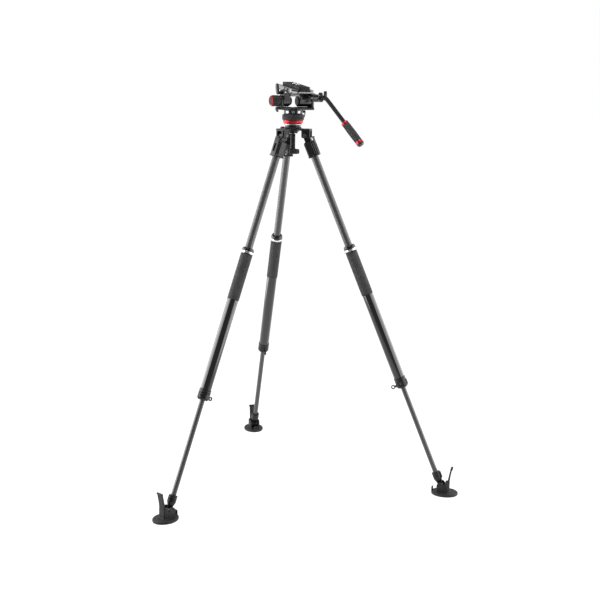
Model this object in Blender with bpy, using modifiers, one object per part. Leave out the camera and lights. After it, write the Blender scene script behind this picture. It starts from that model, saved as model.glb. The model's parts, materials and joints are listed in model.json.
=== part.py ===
"""Video tripod with a fluid head: telescopic legs, a levelling bowl, a pan and tilt head and its pan bar.

Run with: blender --background --python part.py
Units are metres, +Z is up, and the floor is z = 0. The head looks along +Y and its tilt axis is along X.
Every leg is made in its own frame: the hinge is the origin, -Z runs down the leg, +X is the outer side of
the leg, and Y is the hinge's axis.
"""

import math

import bmesh
import bpy
from mathutils import Matrix, Vector

# ---------------------------------------------------------------- driving dimensions
FIT_GAP = 0.0003  # play between pieces that touch
TRIPOD_AXIS = (0.0689, -0.1124)  # where the pan axis stands, so that the box is centred on the origin

LEG_AZIMUTHS = {"front": 78.7, "left": 198.7, "right": -41.3}  # degrees, seen from above
LEG_ANGLE = math.radians(22.8)  # from the vertical, at rest
APEX_HEIGHT = 1.6275  # where the leg lines meet on the pan axis
HINGE_RUN = 0.149  # along the leg line, from the apex to the leg's hinge

# stations along the leg line, measured from the apex
BRACKET_SHOULDER = 0.1740
BRACKET_END = 0.242
COLLAR_TOP = 0.634
GRIP_TOP = 0.662
GRIP_END = 0.853
UPPER_TUBE_END = 0.770
MIDDLE_END = 1.227
LOWER_COLLAR_END = 1.273
LOWER_TUBE_TOP = 1.100
LOWER_TUBE_END = 1.685
FOOT_BLOCK_TOP = 1.663

UPPER_RADIUS = 0.0155
MIDDLE_RADIUS = 0.0225
LOWER_RADIUS = 0.0105
GRIP_RADIUS = 0.0243
COLLAR_RADIUS = 0.0250
TUBE_WALL = 0.0020
ANKLE_HEIGHT = 0.036  # of the shoe's pivot above the floor
EYELET_REACH = 0.0400  # from the leg's centre line
EYELET_RADIUS = 0.0053
BRACKET_WIDTH = 0.047
TONGUE_WIDTH = 0.0254
BARREL_RADIUS = 0.0142
PIN_RADIUS = 0.0040

# crown and levelling ball
BALL_CENTRE = 1.5315
BALL_RADIUS = 0.0319
BOWL_RIM = 1.5245
ARM_TOP = 1.519
ARM_ROOF = 0.0095
ARM_REACH = 0.0775
CHEEK_START = 0.0400
CHEEK_BOTTOM = 1.479
LEVEL_AZIMUTH = 138.7
LEVEL_REACH = 0.0450
LEVEL_SEAT = 1.5205

# fluid head, from the ball upwards
RING_BOTTOM = 1.5368
DRAG_BOTTOM = 1.5515
NECK_BOTTOM = 1.5753
YOKE_BOTTOM = 1.5925
YOKE_TOP = 1.6040
TILT_AXIS_HEIGHT = 1.6290
TILT_ANGLE = math.radians(8.0)  # nose up, at rest
YOKE_LEFT = -0.0660
YOKE_RIGHT = 0.0850
YOKE_WALL = 0.0115
YOKE_HALF_DEPTH = 0.0290
ARM_ROUND = 0.0220
DRUM_RADIUS = 0.0232
KNOB_RADIUS = 0.0225

# heights above the tilt axis, in the tilting frame
BRIDGE_BOTTOM = 0.0205
HOUSING_GAP = (-0.0240, 0.0190)  # the open space between the two drums, along X
HOUSING_TOP = 0.0440
HOLDER_TOP = 0.0565
PLATE_TOP = 0.0700
HOLDER_REAR = -0.0890
HOLDER_FRONT = 0.0760
HOLDER_HALF_WIDTH = 0.0450
PLATE_CENTRE_Y = -0.0155
PLATE_HALF_LENGTH = 0.0760

# pan bar
BAR_PIVOT = (0.0885, -0.0620, 0.0210)  # in the tilting frame
ROSETTE_RADIUS = 0.0158
BAR_ARM_BOTTOM = 0.0240  # high enough to clear the yoke when the head tilts
BAR_RADIUS = 0.0085
BAR_BEND = (0.0030, -0.0330, 0.0100)  # from the pivot
BAR_AZIMUTH = math.radians(-62.0)
BAR_DIP = math.radians(46.0)
BAR_LENGTH = 0.264  # from the bend to the tip
GRIP_LENGTH = 0.122
BEND_STEPS = 6

SEGMENTS = 20  # sides of a round piece of the head
LEG_SEGMENTS = 16  # sides of a round piece of a leg

# ---------------------------------------------------------------- scene and materials
for old in list(bpy.data.objects):
    bpy.data.objects.remove(old, do_unlink=True)

parts = bpy.data.collections.new("video_tripod")
cutters = bpy.data.collections.new("cutters")
bpy.context.scene.collection.children.link(parts)
bpy.context.scene.collection.children.link(cutters)


def material(name, colour, roughness, metallic=0.0):
    made = bpy.data.materials.new(name)
    made.use_nodes = True
    shader = made.node_tree.nodes["Principled BSDF"]
    shader.inputs["Base Color"].default_value = (*colour, 1.0)
    shader.inputs["Roughness"].default_value = roughness
    shader.inputs["Metallic"].default_value = metallic
    return made


CARBON = material("carbon_fibre", (0.045, 0.046, 0.048), 0.38)
GLOSS_BLACK = material("gloss_black_tube", (0.012, 0.012, 0.013), 0.10)
SATIN_BLACK = material("satin_black_alloy", (0.022, 0.022, 0.024), 0.35)
RUBBER = material("black_rubber", (0.035, 0.036, 0.037), 0.80)
SILVER = material("bright_alloy", (0.66, 0.66, 0.65), 0.28, 1.0)
GREY_ALLOY = material("grey_anodised", (0.30, 0.30, 0.31), 0.38, 0.8)
RED = material("red_anodised", (0.40, 0.015, 0.022), 0.30, 0.6)
STEEL = material("steel", (0.50, 0.50, 0.50), 0.30, 1.0)


# ---------------------------------------------------------------- modelling helpers
def place(name, mesh, look, parent, location, rotation, collection=parts):
    made = bpy.data.objects.new(name, mesh)
    collection.objects.link(made)
    made.parent = parent
    made.location = location
    made.rotation_euler = rotation
    if look:
        mesh.materials.append(look)
    return made


def empty(name, location, rotation=(0, 0, 0), parent=None):
    made = bpy.data.objects.new(name, None)
    parts.objects.link(made)
    made.empty_display_size = 0.02
    made.parent = parent
    made.location = location
    made.rotation_euler = rotation
    return made


def turned(name, profile, look, parent=None, location=(0, 0, 0), rotation=(0, 0, 0), ring=False,
           segments=SEGMENTS):
    """A turned piece: its profile, as (radius, z), runs down the outer side; a ring's profile is a loop."""
    mesh = bpy.data.meshes.new(name)
    last = len(profile) - 1
    edges = [(i, i + 1) for i in range(last)]
    if ring:
        edges.append((last, 0))
    mesh.from_pydata([(r, 0.0, z) for r, z in profile], edges, [])
    made = place(name, mesh, look, parent, location, rotation)
    screw = made.modifiers.new("Turn", "SCREW")
    screw.axis = "Z"
    screw.steps = segments
    screw.render_steps = segments
    screw.use_merge_vertices = True
    screw.merge_threshold = 0.00001
    screw.use_smooth_shade = True
    return made


def box(name, low, high, look=None, parent=None, location=(0, 0, 0), rotation=(0, 0, 0), bevel=0.0,
        bevel_segments=2):
    """A block between two opposite corners of its own frame, with its edges rounded."""
    size = Vector(high) - Vector(low)
    middle = (Vector(high) + Vector(low)) / 2
    form = bmesh.new()
    bmesh.ops.create_cube(form, size=1.0, matrix=Matrix.Translation(middle) @ Matrix.Diagonal((*size, 1.0)))
    mesh = bpy.data.meshes.new(name)
    form.to_mesh(mesh)
    form.free()
    made = place(name, mesh, look, parent, location, rotation)
    if bevel:
        rounding = made.modifiers.new("Rounding", "BEVEL")
        rounding.width = bevel
        rounding.segments = bevel_segments
    return made


def rod(name, axis, radius, start, end, at=(0, 0, 0), look=None, parent=None, location=(0, 0, 0),
        rotation=(0, 0, 0), end_radius=None, segments=SEGMENTS):
    """A cylinder or cone along X, Y or Z of its own frame, from start to end on that axis, through at."""
    direction = {"X": Vector((1, 0, 0)), "Y": Vector((0, 1, 0)), "Z": Vector((0, 0, 1))}[axis]
    turn = direction.to_track_quat("Z", "Y").to_matrix().to_4x4()
    middle = Vector(at) + direction * (start + end) / 2
    form = bmesh.new()
    bmesh.ops.create_cone(form, cap_ends=True, segments=segments, radius1=radius,
                          radius2=radius if end_radius is None else end_radius, depth=end - start,
                          matrix=Matrix.Translation(middle) @ turn)
    mesh = bpy.data.meshes.new(name)
    form.to_mesh(mesh)
    form.free()
    return place(name, mesh, look, parent, location, rotation)


def plate(name, outline, thickness, look=None, parent=None, location=(0, 0, 0), rotation=(0, 0, 0)):
    """A flat outline in its own XY plane, thickened evenly to both sides, as a mesh."""
    curve = bpy.data.curves.new(name, "CURVE")
    curve.dimensions = "2D"
    curve.fill_mode = "BOTH"
    curve.extrude = thickness / 2
    spline = curve.splines.new("POLY")
    spline.points.add(len(outline) - 1)
    for point, (x, y) in zip(spline.points, outline):
        point.co = (x, y, 0.0, 1.0)
    spline.use_cyclic_u = True
    guide = place(name + "_outline", curve, None, None, (0, 0, 0), (0, 0, 0))
    bpy.context.view_layer.update()
    mesh = bpy.data.meshes.new_from_object(guide.evaluated_get(bpy.context.evaluated_depsgraph_get()))
    bpy.data.objects.remove(guide, do_unlink=True)
    form = bmesh.new()
    form.from_mesh(mesh)
    bmesh.ops.remove_doubles(form, verts=form.verts, dist=0.00001)
    bmesh.ops.recalc_face_normals(form, faces=form.faces)
    form.to_mesh(mesh)
    form.free()
    mesh.materials.clear()
    return place(name, mesh, look, parent, location, rotation)


def wire(name, points, radius, look, parent=None, location=(0, 0, 0), rotation=(0, 0, 0), resolution=3):
    """A round bar along a row of points."""
    curve = bpy.data.curves.new(name, "CURVE")
    curve.dimensions = "3D"
    curve.bevel_depth = radius
    curve.bevel_resolution = resolution
    curve.use_fill_caps = True
    spline = curve.splines.new("POLY")
    spline.points.add(len(points) - 1)
    for point, at in zip(spline.points, points):
        point.co = (*at, 1.0)
    return place(name, curve, look, parent, location, rotation)


def shape_with(piece, tool, operation):
    """Fuses a tool to a piece, or cuts the piece with it. The tool leaves the model."""
    parts.objects.unlink(tool)
    cutters.objects.link(tool)
    tool.hide_render = True
    tool.display_type = "WIRE"
    change = piece.modifiers.new(tool.name, "BOOLEAN")
    change.operation = operation
    change.object = tool


def fuse(piece, *tools):
    for tool in tools:
        shape_with(piece, tool, "UNION")


def cut(piece, *tools):
    for tool in tools:
        shape_with(piece, tool, "DIFFERENCE")


def tube(name, radius, bore, start, end, look, parent):
    """A tube on the leg's centre line between two stations of the leg."""
    loop = [(radius, -start), (radius, -end), (bore, -end), (bore, -start)]
    return turned(name, loop, look, parent, ring=True, segments=LEG_SEGMENTS)


def down(station):
    """A station of the leg line as a distance below the hinge."""
    return station - HINGE_RUN


def from_axis(reach, azimuth, height):
    """A point at a distance from the pan axis."""
    return (TRIPOD_AXIS[0] + reach * math.cos(azimuth), TRIPOD_AXIS[1] + reach * math.sin(azimuth), height)


# ---------------------------------------------------------------- legs
def build_bracket(leg, hinge):
    """The casting that swings on the crown: a tongue round the pin and a socket for the upper tube."""
    shoulder, end = down(BRACKET_SHOULDER), down(BRACKET_END)
    half = BRACKET_WIDTH / 2
    bracket = box(f"leg_{leg}_bracket", (-0.0210, -half, -end), (0.0210, half, -shoulder), SATIN_BLACK, hinge,
                  bevel=0.0085, bevel_segments=2)
    tongue = TONGUE_WIDTH / 2
    fuse(bracket,
         box(f"tongue_{leg}", (-0.0132, -tongue, -shoulder - 0.012), (0.0132, tongue, 0.0), parent=hinge),
         rod(f"barrel_{leg}", "Y", BARREL_RADIUS, -tongue + 0.0001, tongue - 0.0001, parent=hinge))
    cut(bracket,
        rod(f"tube_socket_{leg}", "Z", UPPER_RADIUS + FIT_GAP, -end - 0.01, -shoulder - 0.013, parent=hinge),
        rod(f"pin_bore_{leg}", "Y", PIN_RADIUS + FIT_GAP, -0.04, 0.04, parent=hinge, segments=12))


def build_latch(leg, hinge):
    """The leg-angle latch: a blade on the outer side of the bracket, pulled out at its top."""
    foot = down(BRACKET_END) - 0.004
    pivot = empty(f"leg_{leg}_latch_pivot", (0.0240, 0, -foot), parent=hinge)
    length = foot - 0.0125
    latch = box(f"leg_{leg}_latch", (-0.0014, -0.0140, -0.0035), (0.0014, 0.0140, length), SATIN_BLACK, pivot,
                bevel=0.0009, bevel_segments=1)
    fuse(latch, box(f"latch_lip_{leg}", (0.0005, -0.0100, length - 0.007), (0.0048, 0.0100, length - 0.0012),
                    parent=pivot, bevel=0.0008, bevel_segments=1))


def build_upper_leg(leg, hinge):
    """The carbon tube that the bracket holds, and the crown's pin."""
    tube(f"leg_{leg}_upper_tube", UPPER_RADIUS, UPPER_RADIUS - TUBE_WALL,
         down(BRACKET_SHOULDER) + 0.0135, down(UPPER_TUBE_END), CARBON, hinge)
    half = BRACKET_WIDTH / 2 + 0.0008
    rod(f"leg_{leg}_hinge_pin", "Y", PIN_RADIUS, -half, half, look=STEEL, parent=hinge, segments=12)


def build_middle_leg(leg, hinge):
    """The wide middle stage: collar, twist grip, gloss tube and the lower collar with its spreader eyelet."""
    bore = UPPER_RADIUS + FIT_GAP
    top, ring = down(COLLAR_TOP), down(GRIP_TOP)
    turned(f"leg_{leg}_collar",
           [(0.0205, -top), (COLLAR_RADIUS, -top - 0.005), (COLLAR_RADIUS, -ring + FIT_GAP),
            (bore, -ring + FIT_GAP), (bore, -top)], SATIN_BLACK, hinge, ring=True, segments=LEG_SEGMENTS)
    core, step, end = MIDDLE_RADIUS - 0.002, down(GRIP_END), down(MIDDLE_END)
    turned(f"leg_{leg}_middle_tube",
           [(core, -ring), (core, -step - FIT_GAP), (MIDDLE_RADIUS, -step - FIT_GAP), (MIDDLE_RADIUS, -end),
            (core - 0.002, -end), (core - 0.002, -ring)], GLOSS_BLACK, hinge, ring=True,
           segments=LEG_SEGMENTS)
    grip = core / math.cos(math.pi / LEG_SEGMENTS) + FIT_GAP
    turned(f"leg_{leg}_grip",
           [(GRIP_RADIUS, -ring - FIT_GAP), (GRIP_RADIUS, -step), (grip, -step), (grip, -ring - FIT_GAP)],
           RUBBER, hinge, ring=True, segments=LEG_SEGMENTS)
    foot = down(LOWER_COLLAR_END)
    collar = turned(f"leg_{leg}_lower_collar",
                    [(0.0246, -end - FIT_GAP), (0.0246, -foot + 0.006), (0.0190, -foot),
                     (LOWER_RADIUS + FIT_GAP, -foot), (LOWER_RADIUS + FIT_GAP, -end - FIT_GAP)],
                    SATIN_BLACK, hinge, ring=True, segments=LEG_SEGMENTS)
    middle = 0.0125 - foot
    fuse(collar,
         box(f"eyelet_arm_{leg}", (-EYELET_REACH + 0.005, -0.0040, middle - 0.0045),
             (-0.0200, 0.0040, middle + 0.0045), parent=hinge),
         rod(f"eyelet_ring_{leg}", "Y", 0.0084, -0.0024, 0.0024, at=(-EYELET_REACH, 0, middle), parent=hinge,
             segments=14))
    cut(collar,
        rod(f"eyelet_hole_{leg}", "Y", EYELET_RADIUS, -0.02, 0.02, at=(-EYELET_REACH, 0, middle),
            parent=hinge, segments=12))


def build_lower_leg(leg, hinge):
    """The thin carbon tube and the foot block with its spike."""
    tube(f"leg_{leg}_lower_tube", LOWER_RADIUS, LOWER_RADIUS - TUBE_WALL, down(LOWER_TUBE_TOP),
         down(LOWER_TUBE_END), CARBON, hinge)
    top, pivot = down(FOOT_BLOCK_TOP), down((APEX_HEIGHT - ANKLE_HEIGHT) / math.cos(LEG_ANGLE))
    bore = LOWER_RADIUS + FIT_GAP
    seat = down(LOWER_TUBE_END) + FIT_GAP
    block = turned(f"leg_{leg}_foot_block",
                   [(0.0, -seat), (bore, -seat), (bore, -top), (0.0178, -top), (0.0178, -seat - 0.006),
                    (0.0110, -pivot + 0.016), (0.0085, -pivot), (0.0, -pivot - 0.0195)], SATIN_BLACK, hinge,
                   segments=LEG_SEGMENTS)
    fuse(block, rod(f"ankle_{leg}", "Y", 0.0112, -0.0150, 0.0150, at=(0, 0, -pivot), parent=hinge,
                    segments=14))


def oval(half_x, half_y, count):
    return [(half_x * math.cos(2 * math.pi * i / count), half_y * math.sin(2 * math.pi * i / count))
            for i in range(count)]


def build_shoe(leg, azimuth):
    """The rubber shoe: an oval sole, two ears round the ankle, an outer strap with a pull tab, an eyelet."""
    reach = (APEX_HEIGHT - ANKLE_HEIGHT) * math.tan(LEG_ANGLE)
    at = from_axis(reach, azimuth, ANKLE_HEIGHT)
    ankle = empty(f"leg_{leg}_ankle", at, (0, 0, azimuth))
    sole_height, floor, centre = 0.0130, -ANKLE_HEIGHT, 0.0165
    sole = plate(f"leg_{leg}_shoe", oval(0.0565, 0.0460, 24), sole_height, RUBBER, ankle)
    sole.data.transform(Matrix.Translation((centre, 0, floor + sole_height / 2)))
    rounding = sole.modifiers.new("Rounding", "BEVEL")
    rounding.width = 0.0035
    rounding.segments = 1
    rounding.limit_method = "ANGLE"
    inside = floor + sole_height - 0.003
    for side in (-1, 1):
        low, high = sorted((side * 0.0154, side * 0.0235))
        fuse(sole, box(f"ear_{leg}_{side + 1}", (-0.0160, low, inside), (0.0180, high, 0.0190), parent=ankle))
    wall = [(0.0285, inside), (0.0360, inside), (0.0360, 0.0200), (0.0390, 0.0440), (0.0460, 0.0795),
            (0.0402, 0.0805), (0.0330, 0.0450), (0.0285, 0.0200)]
    fuse(sole,
         plate(f"strap_{leg}", wall, 0.0290, parent=ankle, rotation=(math.radians(90), 0, 0)),
         box(f"wall_{leg}", (0.0175, -0.0230, inside), (0.0346, 0.0230, 0.0185), parent=ankle),
         box(f"pull_tab_{leg}", (0.0395, -0.0170, 0.0755), (0.0480, 0.0170, 0.0835), parent=ankle),
         box(f"sole_eyelet_{leg}", (-0.0390, -0.0080, inside), (-0.0330, 0.0080, floor + 0.0300),
             parent=ankle))


def build_leg(leg, degrees):
    azimuth = math.radians(degrees)
    reach = HINGE_RUN * math.sin(LEG_ANGLE)
    at = from_axis(reach, azimuth, APEX_HEIGHT - HINGE_RUN * math.cos(LEG_ANGLE))
    hinge = empty(f"leg_{leg}_hinge", at, (0, -LEG_ANGLE, azimuth))
    build_bracket(leg, hinge)
    build_latch(leg, hinge)
    build_upper_leg(leg, hinge)
    build_middle_leg(leg, hinge)
    build_lower_leg(leg, hinge)
    build_shoe(leg, azimuth)


# ---------------------------------------------------------------- crown and levelling ball
def sphere_point(radius, polar):
    """A point of a sphere round the ball's centre, at an angle in degrees from straight down."""
    angle = math.radians(polar)
    return (radius * math.sin(angle), BALL_CENTRE - radius * math.cos(angle))


def build_crown(axis):
    """The bowl with its three forks, which hold the legs' tongues."""
    seat, skin = BALL_RADIUS + 0.0009, 0.0355
    web = ARM_TOP - ARM_ROOF
    profile = [(0.0345, BOWL_RIM), (0.0345, ARM_TOP + 0.0018), (0.0440, ARM_TOP - 0.0012)]
    profile += [(0.0440, web + 0.0003), (0.0315, web + 0.0003)]
    profile += [sphere_point(skin, polar) for polar in (50, 37, 25)]
    profile += [sphere_point(seat, polar) for polar in (27, 41, 55, 68)]
    profile += [(math.sqrt(seat ** 2 - (BALL_CENTRE - BOWL_RIM) ** 2), BOWL_RIM)]
    crown = turned("crown", profile, SATIN_BLACK, axis, ring=True)
    slot = TONGUE_WIDTH / 2 + FIT_GAP
    for leg, degrees in LEG_AZIMUTHS.items():
        spoke = (0, 0, math.radians(degrees))
        half = BRACKET_WIDTH / 2
        fuse(crown,
             box(f"fork_roof_{leg}", (0.0300, -half, web), (ARM_REACH - 0.0005, half, ARM_TOP), parent=axis,
                 rotation=spoke),
             box(f"fork_{leg}", (CHEEK_START, -half + 0.0002, CHEEK_BOTTOM),
                 (ARM_REACH, half - 0.0002, ARM_TOP - 0.0008), parent=axis, rotation=spoke, bevel=0.0035,
                 bevel_segments=1))
        cut(crown,
            box(f"fork_slot_{leg}", (CHEEK_START - 0.01, -slot, CHEEK_BOTTOM - 0.01),
                (ARM_REACH + 0.01, slot, web - 0.0005), parent=axis, rotation=spoke),
            rod(f"fork_bore_{leg}", "Y", PIN_RADIUS + FIT_GAP, -0.04, 0.04,
                at=(HINGE_RUN * math.sin(LEG_ANGLE), 0, APEX_HEIGHT - HINGE_RUN * math.cos(LEG_ANGLE)),
                parent=axis, rotation=spoke, segments=12))
    lug = math.radians(LEVEL_AZIMUTH)
    seat_at = (LEVEL_REACH * math.cos(lug), LEVEL_REACH * math.sin(lug), 0)
    fuse(crown, rod("level_lug", "Z", 0.0100, web + 0.0006, LEVEL_SEAT, at=seat_at, parent=axis, segments=20))
    turned("spirit_level",
           [(0.0, 0.0037), (0.0074, 0.0037), (0.0086, 0.0030), (0.0086, FIT_GAP), (0.0, FIT_GAP)], RED, axis,
           location=(*seat_at[:2], LEVEL_SEAT))


def build_ball(axis):
    """The half ball with its stud, the slotted cup under the bowl, and the knob that clamps them."""
    top, flange, centre = RING_BOTTOM - FIT_GAP, BALL_CENTRE + 0.0010, BALL_CENTRE
    ball = [(0.0, top), (0.0360, top), (0.0360, flange), (BALL_RADIUS, flange)]
    ball += [sphere_point(BALL_RADIUS, polar) for polar in (90, 73, 56, 39, 22)]
    ball += [(0.0050, centre - 0.0314), (0.0050, centre - 0.1095), (0.0, centre - 0.1095)]
    turned("half_ball", ball, SILVER, axis)
    outer, inner, edge = 0.0390, 0.0358, 33.0
    cup = [sphere_point(outer, polar) for polar in (edge, 21, 8.2)]
    cup += [sphere_point(inner, polar) for polar in (8.9, 21, edge)]
    cup_piece = turned("clamp_cup", cup, SILVER, axis, ring=True)
    cut(cup_piece, box("cup_slot", (-0.0114, -0.00545, centre - 0.049), (0.0114, 0.00545, centre - 0.019),
                       parent=axis))
    bore, sleeve, knob = 0.0053, 0.0105, 0.0280
    turned("clamp_knob",
           [(0.0, -0.1100), (bore, -0.1100), (bore, -0.0397), (sleeve, -0.0397), (sleeve, -0.0970),
            (0.0200, -0.0978), (0.0265, -0.0995), (knob, -0.1020), (knob, -0.1150), (0.0260, -0.1175),
            (0.0, -0.1180)], RUBBER, axis, location=(0, 0, centre))


# ---------------------------------------------------------------- fluid head: base and yoke
def ribbed_outline(radius, depth, ribs):
    """A round outline with shallow square ribs."""
    points = []
    for i in range(ribs):
        for part, inset in ((0.0, 0.0), (0.45, 0.0), (0.55, depth), (0.90, depth)):
            angle = 2 * math.pi * (i + part) / ribs
            points.append(((radius - inset) * math.cos(angle), (radius - inset) * math.sin(angle)))
    return points


def build_base(axis):
    """The red base ring and the ribbed ring that sets the pan drag."""
    top = DRAG_BOTTOM - FIT_GAP
    turned("base_ring", [(0.0, top), (0.0405, top), (0.0415, top - 0.0042), (0.0400, top - 0.0097),
                         (0.0355, RING_BOTTOM), (0.0, RING_BOTTOM)], RED, axis)
    ring_height = NECK_BOTTOM - FIT_GAP - DRAG_BOTTOM
    ring = plate("pan_drag_ring", ribbed_outline(0.0450, 0.0012, 20), ring_height, RUBBER, axis,
                 location=(0, 0, DRAG_BOTTOM + ring_height / 2))
    cut(ring, rod("drag_ring_bore", "Z", 0.0308, -0.03, 0.03, parent=axis,
                  location=(0, 0, DRAG_BOTTOM + ring_height / 2)))


def build_yoke(axis):
    """The panning body: the neck, the wide yoke on it and the two levers that lock pan and tilt."""
    yoke = turned("pan_housing", [(0.0, YOKE_BOTTOM + 0.004), (0.0390, YOKE_BOTTOM + 0.004),
                                  (0.0390, NECK_BOTTOM + 0.004), (0.0375, NECK_BOTTOM), (0.0300, NECK_BOTTOM),
                                  (0.0300, DRAG_BOTTOM + FIT_GAP), (0.0, DRAG_BOTTOM + FIT_GAP)],
                  SATIN_BLACK, axis)
    fuse(yoke, box("yoke_floor", (YOKE_LEFT, -YOKE_HALF_DEPTH, YOKE_BOTTOM),
                   (YOKE_RIGHT, YOKE_HALF_DEPTH, YOKE_TOP), parent=axis, bevel=0.0035))
    for side, start in (("left", YOKE_LEFT), ("right", YOKE_RIGHT - YOKE_WALL)):
        end = start + YOKE_WALL
        wall = box(f"yoke_wall_{side}", (start, -ARM_ROUND + 0.0003, YOKE_BOTTOM + 0.003),
                   (end, ARM_ROUND - 0.0003, TILT_AXIS_HEIGHT), parent=axis)
        top = rod(f"yoke_round_{side}", "X", ARM_ROUND, start + 0.0001, end - 0.0001,
                  at=(0, 0, TILT_AXIS_HEIGHT), parent=axis, segments=28)
        fuse(yoke, wall, top)
    cut(yoke, rod("tilt_bore", "X", 0.0083, -0.1, 0.12, at=(0, 0, TILT_AXIS_HEIGHT), parent=axis))
    build_lever("pan_lock_lever", axis, (0, 0, NECK_BOTTOM + 0.0110), math.radians(-27.0),
                (0.0393, 0.0463, 0.0506), 0.0230)
    build_lever("tilt_lock_lever", axis, (0, -0.0060, YOKE_BOTTOM + 0.0065), math.radians(180.0),
                (-YOKE_LEFT + FIT_GAP, 0.0715, 0.0830), 0.0150)


def build_lever(name, axis, at, azimuth, reach, length):
    """A small lever that turns on an axis pointing outwards: a hub and a blade that hangs from it."""
    start, inner, outer = reach
    pivot = empty(name + "_pivot", at, (0, 0, azimuth), parent=axis)
    hub = rod(name, "X", 0.0052, start, outer - 0.0005, look=SATIN_BLACK, parent=pivot, segments=16)
    fuse(hub, box(name + "_blade", (inner, -0.0042, -length), (outer, 0.0042, 0.0), parent=pivot,
                  bevel=0.0012, bevel_segments=1))


def build_tilt_knob(axis):
    """The ribbed knob that sets the tilt drag, with its red cap."""
    pivot = empty("tilt_drag_pivot", (0, 0, TILT_AXIS_HEIGHT), (0, math.radians(90), 0), parent=axis)
    inner, outer, cap = -YOKE_LEFT + FIT_GAP, 0.0975, 0.1030
    knob = plate("tilt_drag_knob", ribbed_outline(KNOB_RADIUS, 0.0011, 14), outer - inner, RUBBER, pivot,
                 location=(0, 0, -(inner + outer) / 2))
    fuse(knob, rod("tilt_drag_stem", "Z", 0.0080, -0.0672, -0.0548, parent=pivot, segments=20))
    turned("knob_cap", [(0.0, -outer - FIT_GAP), (0.0205, -outer - FIT_GAP), (0.0208, -outer - 0.0030),
                        (0.0190, -cap + 0.0008), (0.0, -cap)], RED, pivot)


# ---------------------------------------------------------------- fluid head: tilting part
def build_housing(name, tilt, start, end, look):
    """One of the two drums that carry the plate holder: round below the tilt axis and square above it."""
    drum = rod(name, "X", DRUM_RADIUS, start, end, look=look, parent=tilt, segments=28)
    fuse(drum, box(name + "_upright", (start + 0.0001, -DRUM_RADIUS + 0.0004, 0.0),
                   (end - 0.0001, DRUM_RADIUS - 0.0004, HOUSING_TOP), parent=tilt, bevel=0.0030))
    return drum


def build_tilting_part(tilt):
    """The drag and counterbalance drums, the bridge between them, the plate holder and the camera plate."""
    build_housing("drag_housing", tilt, YOKE_LEFT + YOKE_WALL + 0.0006, HOUSING_GAP[0], SATIN_BLACK)
    balance = build_housing("balance_housing", tilt, HOUSING_GAP[1], YOKE_RIGHT - YOKE_WALL - 0.0006,
                            SATIN_BLACK)
    x, y, z = BAR_PIVOT
    fuse(balance,
         box("bar_arm", (0.0530, y + 0.002, BAR_ARM_BOTTOM), (0.0722, -0.0150, BAR_ARM_BOTTOM + 0.0150),
             parent=tilt, bevel=0.0020),
         rod("bar_boss", "X", ROSETTE_RADIUS, 0.0515, x - 0.0098, at=(0, y, z), parent=tilt, segments=20))
    cut(balance, rod("bar_screw_bore", "X", 0.0033, 0.0600, 0.0900, at=(0, y, z), parent=tilt, segments=12))
    box("tilt_bridge", (HOUSING_GAP[0] + FIT_GAP, -0.0195, BRIDGE_BOTTOM),
        (HOUSING_GAP[1] - FIT_GAP, 0.0195, HOUSING_TOP), GREY_ALLOY, tilt, bevel=0.0025)

    rear, front, side = HOLDER_REAR, HOLDER_FRONT, HOLDER_HALF_WIDTH
    outline = [(-side, rear + 0.0300), (-0.0280, rear), (side, rear), (side, front), (-0.0380, front),
               (-side, front - 0.0090)]
    low = HOUSING_TOP + FIT_GAP
    holder = plate("plate_holder", outline, HOLDER_TOP - low, GREY_ALLOY, tilt,
                   location=(0, 0, (HOLDER_TOP + low) / 2))
    cut(holder,
        box("plate_channel", (-0.0262, rear - 0.01, low + 0.0050), (0.0262, front + 0.01, HOLDER_TOP + 0.01),
            parent=tilt),
        rod("button_bore", "X", 0.0053, -0.0600, -0.0395, at=(0, -0.0300, low + 0.0062), parent=tilt,
            segments=16))
    rod("plate_release_button", "X", 0.0050, -0.0490, -0.0445, at=(0, -0.0300, low + 0.0062), look=RED,
        parent=tilt, segments=16)
    build_plate_lever(tilt)
    build_camera_plate(tilt, low + 0.0050 + FIT_GAP)


def build_plate_lever(tilt):
    """The lever that locks the camera plate, under the left flange of the holder."""
    pivot = empty("plate_lock_pivot", (0, 0.0120, 0.0310), parent=tilt)
    hub = rod("plate_lock_lever", "X", 0.0062, -0.0718, YOKE_LEFT + YOKE_WALL + 0.0003, look=SATIN_BLACK,
              parent=pivot, segments=16)
    blade = [(0.0006, -0.0081), (0.0089, 0.0032), (0.0140, 0.0195), (0.0159, 0.0326),
             (0.0128, 0.0359), (0.0084, 0.0327), (0.0051, 0.0214), (0.0004, 0.0099),
             (-0.0076, -0.0016)]
    fuse(hub, plate("plate_lever_blade", blade, 0.0046, parent=pivot, location=(-0.0691, 0, 0),
                    rotation=(math.radians(90), 0, math.radians(90))))


def build_camera_plate(tilt, low):
    """The sliding camera plate with its two screws."""
    middle = PLATE_CENTRE_Y
    rear, front = middle - PLATE_HALF_LENGTH, middle + PLATE_HALF_LENGTH
    camera_plate = box("camera_plate", (-0.0250, rear, low + 0.0050), (0.0250, front, PLATE_TOP), SATIN_BLACK,
                       tilt, bevel=0.0012, bevel_segments=1)
    fuse(camera_plate, box("plate_rail", (-0.0200, rear + 0.0005, low), (0.0200, front - 0.0005, low + 0.007),
                           parent=tilt))
    for number, y in ((1, 0.0040), (2, -0.0280)):
        cut(camera_plate, rod(f"screw_bore_{number}", "Z", 0.0049, low - 0.002, PLATE_TOP + 0.01,
                              at=(0, y, 0), parent=tilt, segments=16))
        turned(f"camera_screw_{number}",
               [(0.0, PLATE_TOP + 0.0055), (0.0026, PLATE_TOP + 0.0055), (0.0031, PLATE_TOP + 0.0048),
                (0.0031, PLATE_TOP + 0.0006), (0.0045, PLATE_TOP + 0.0006), (0.0045, low + 0.0010),
                (0.0, low + 0.0010)], STEEL, tilt, location=(0, y, 0), segments=16)


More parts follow.
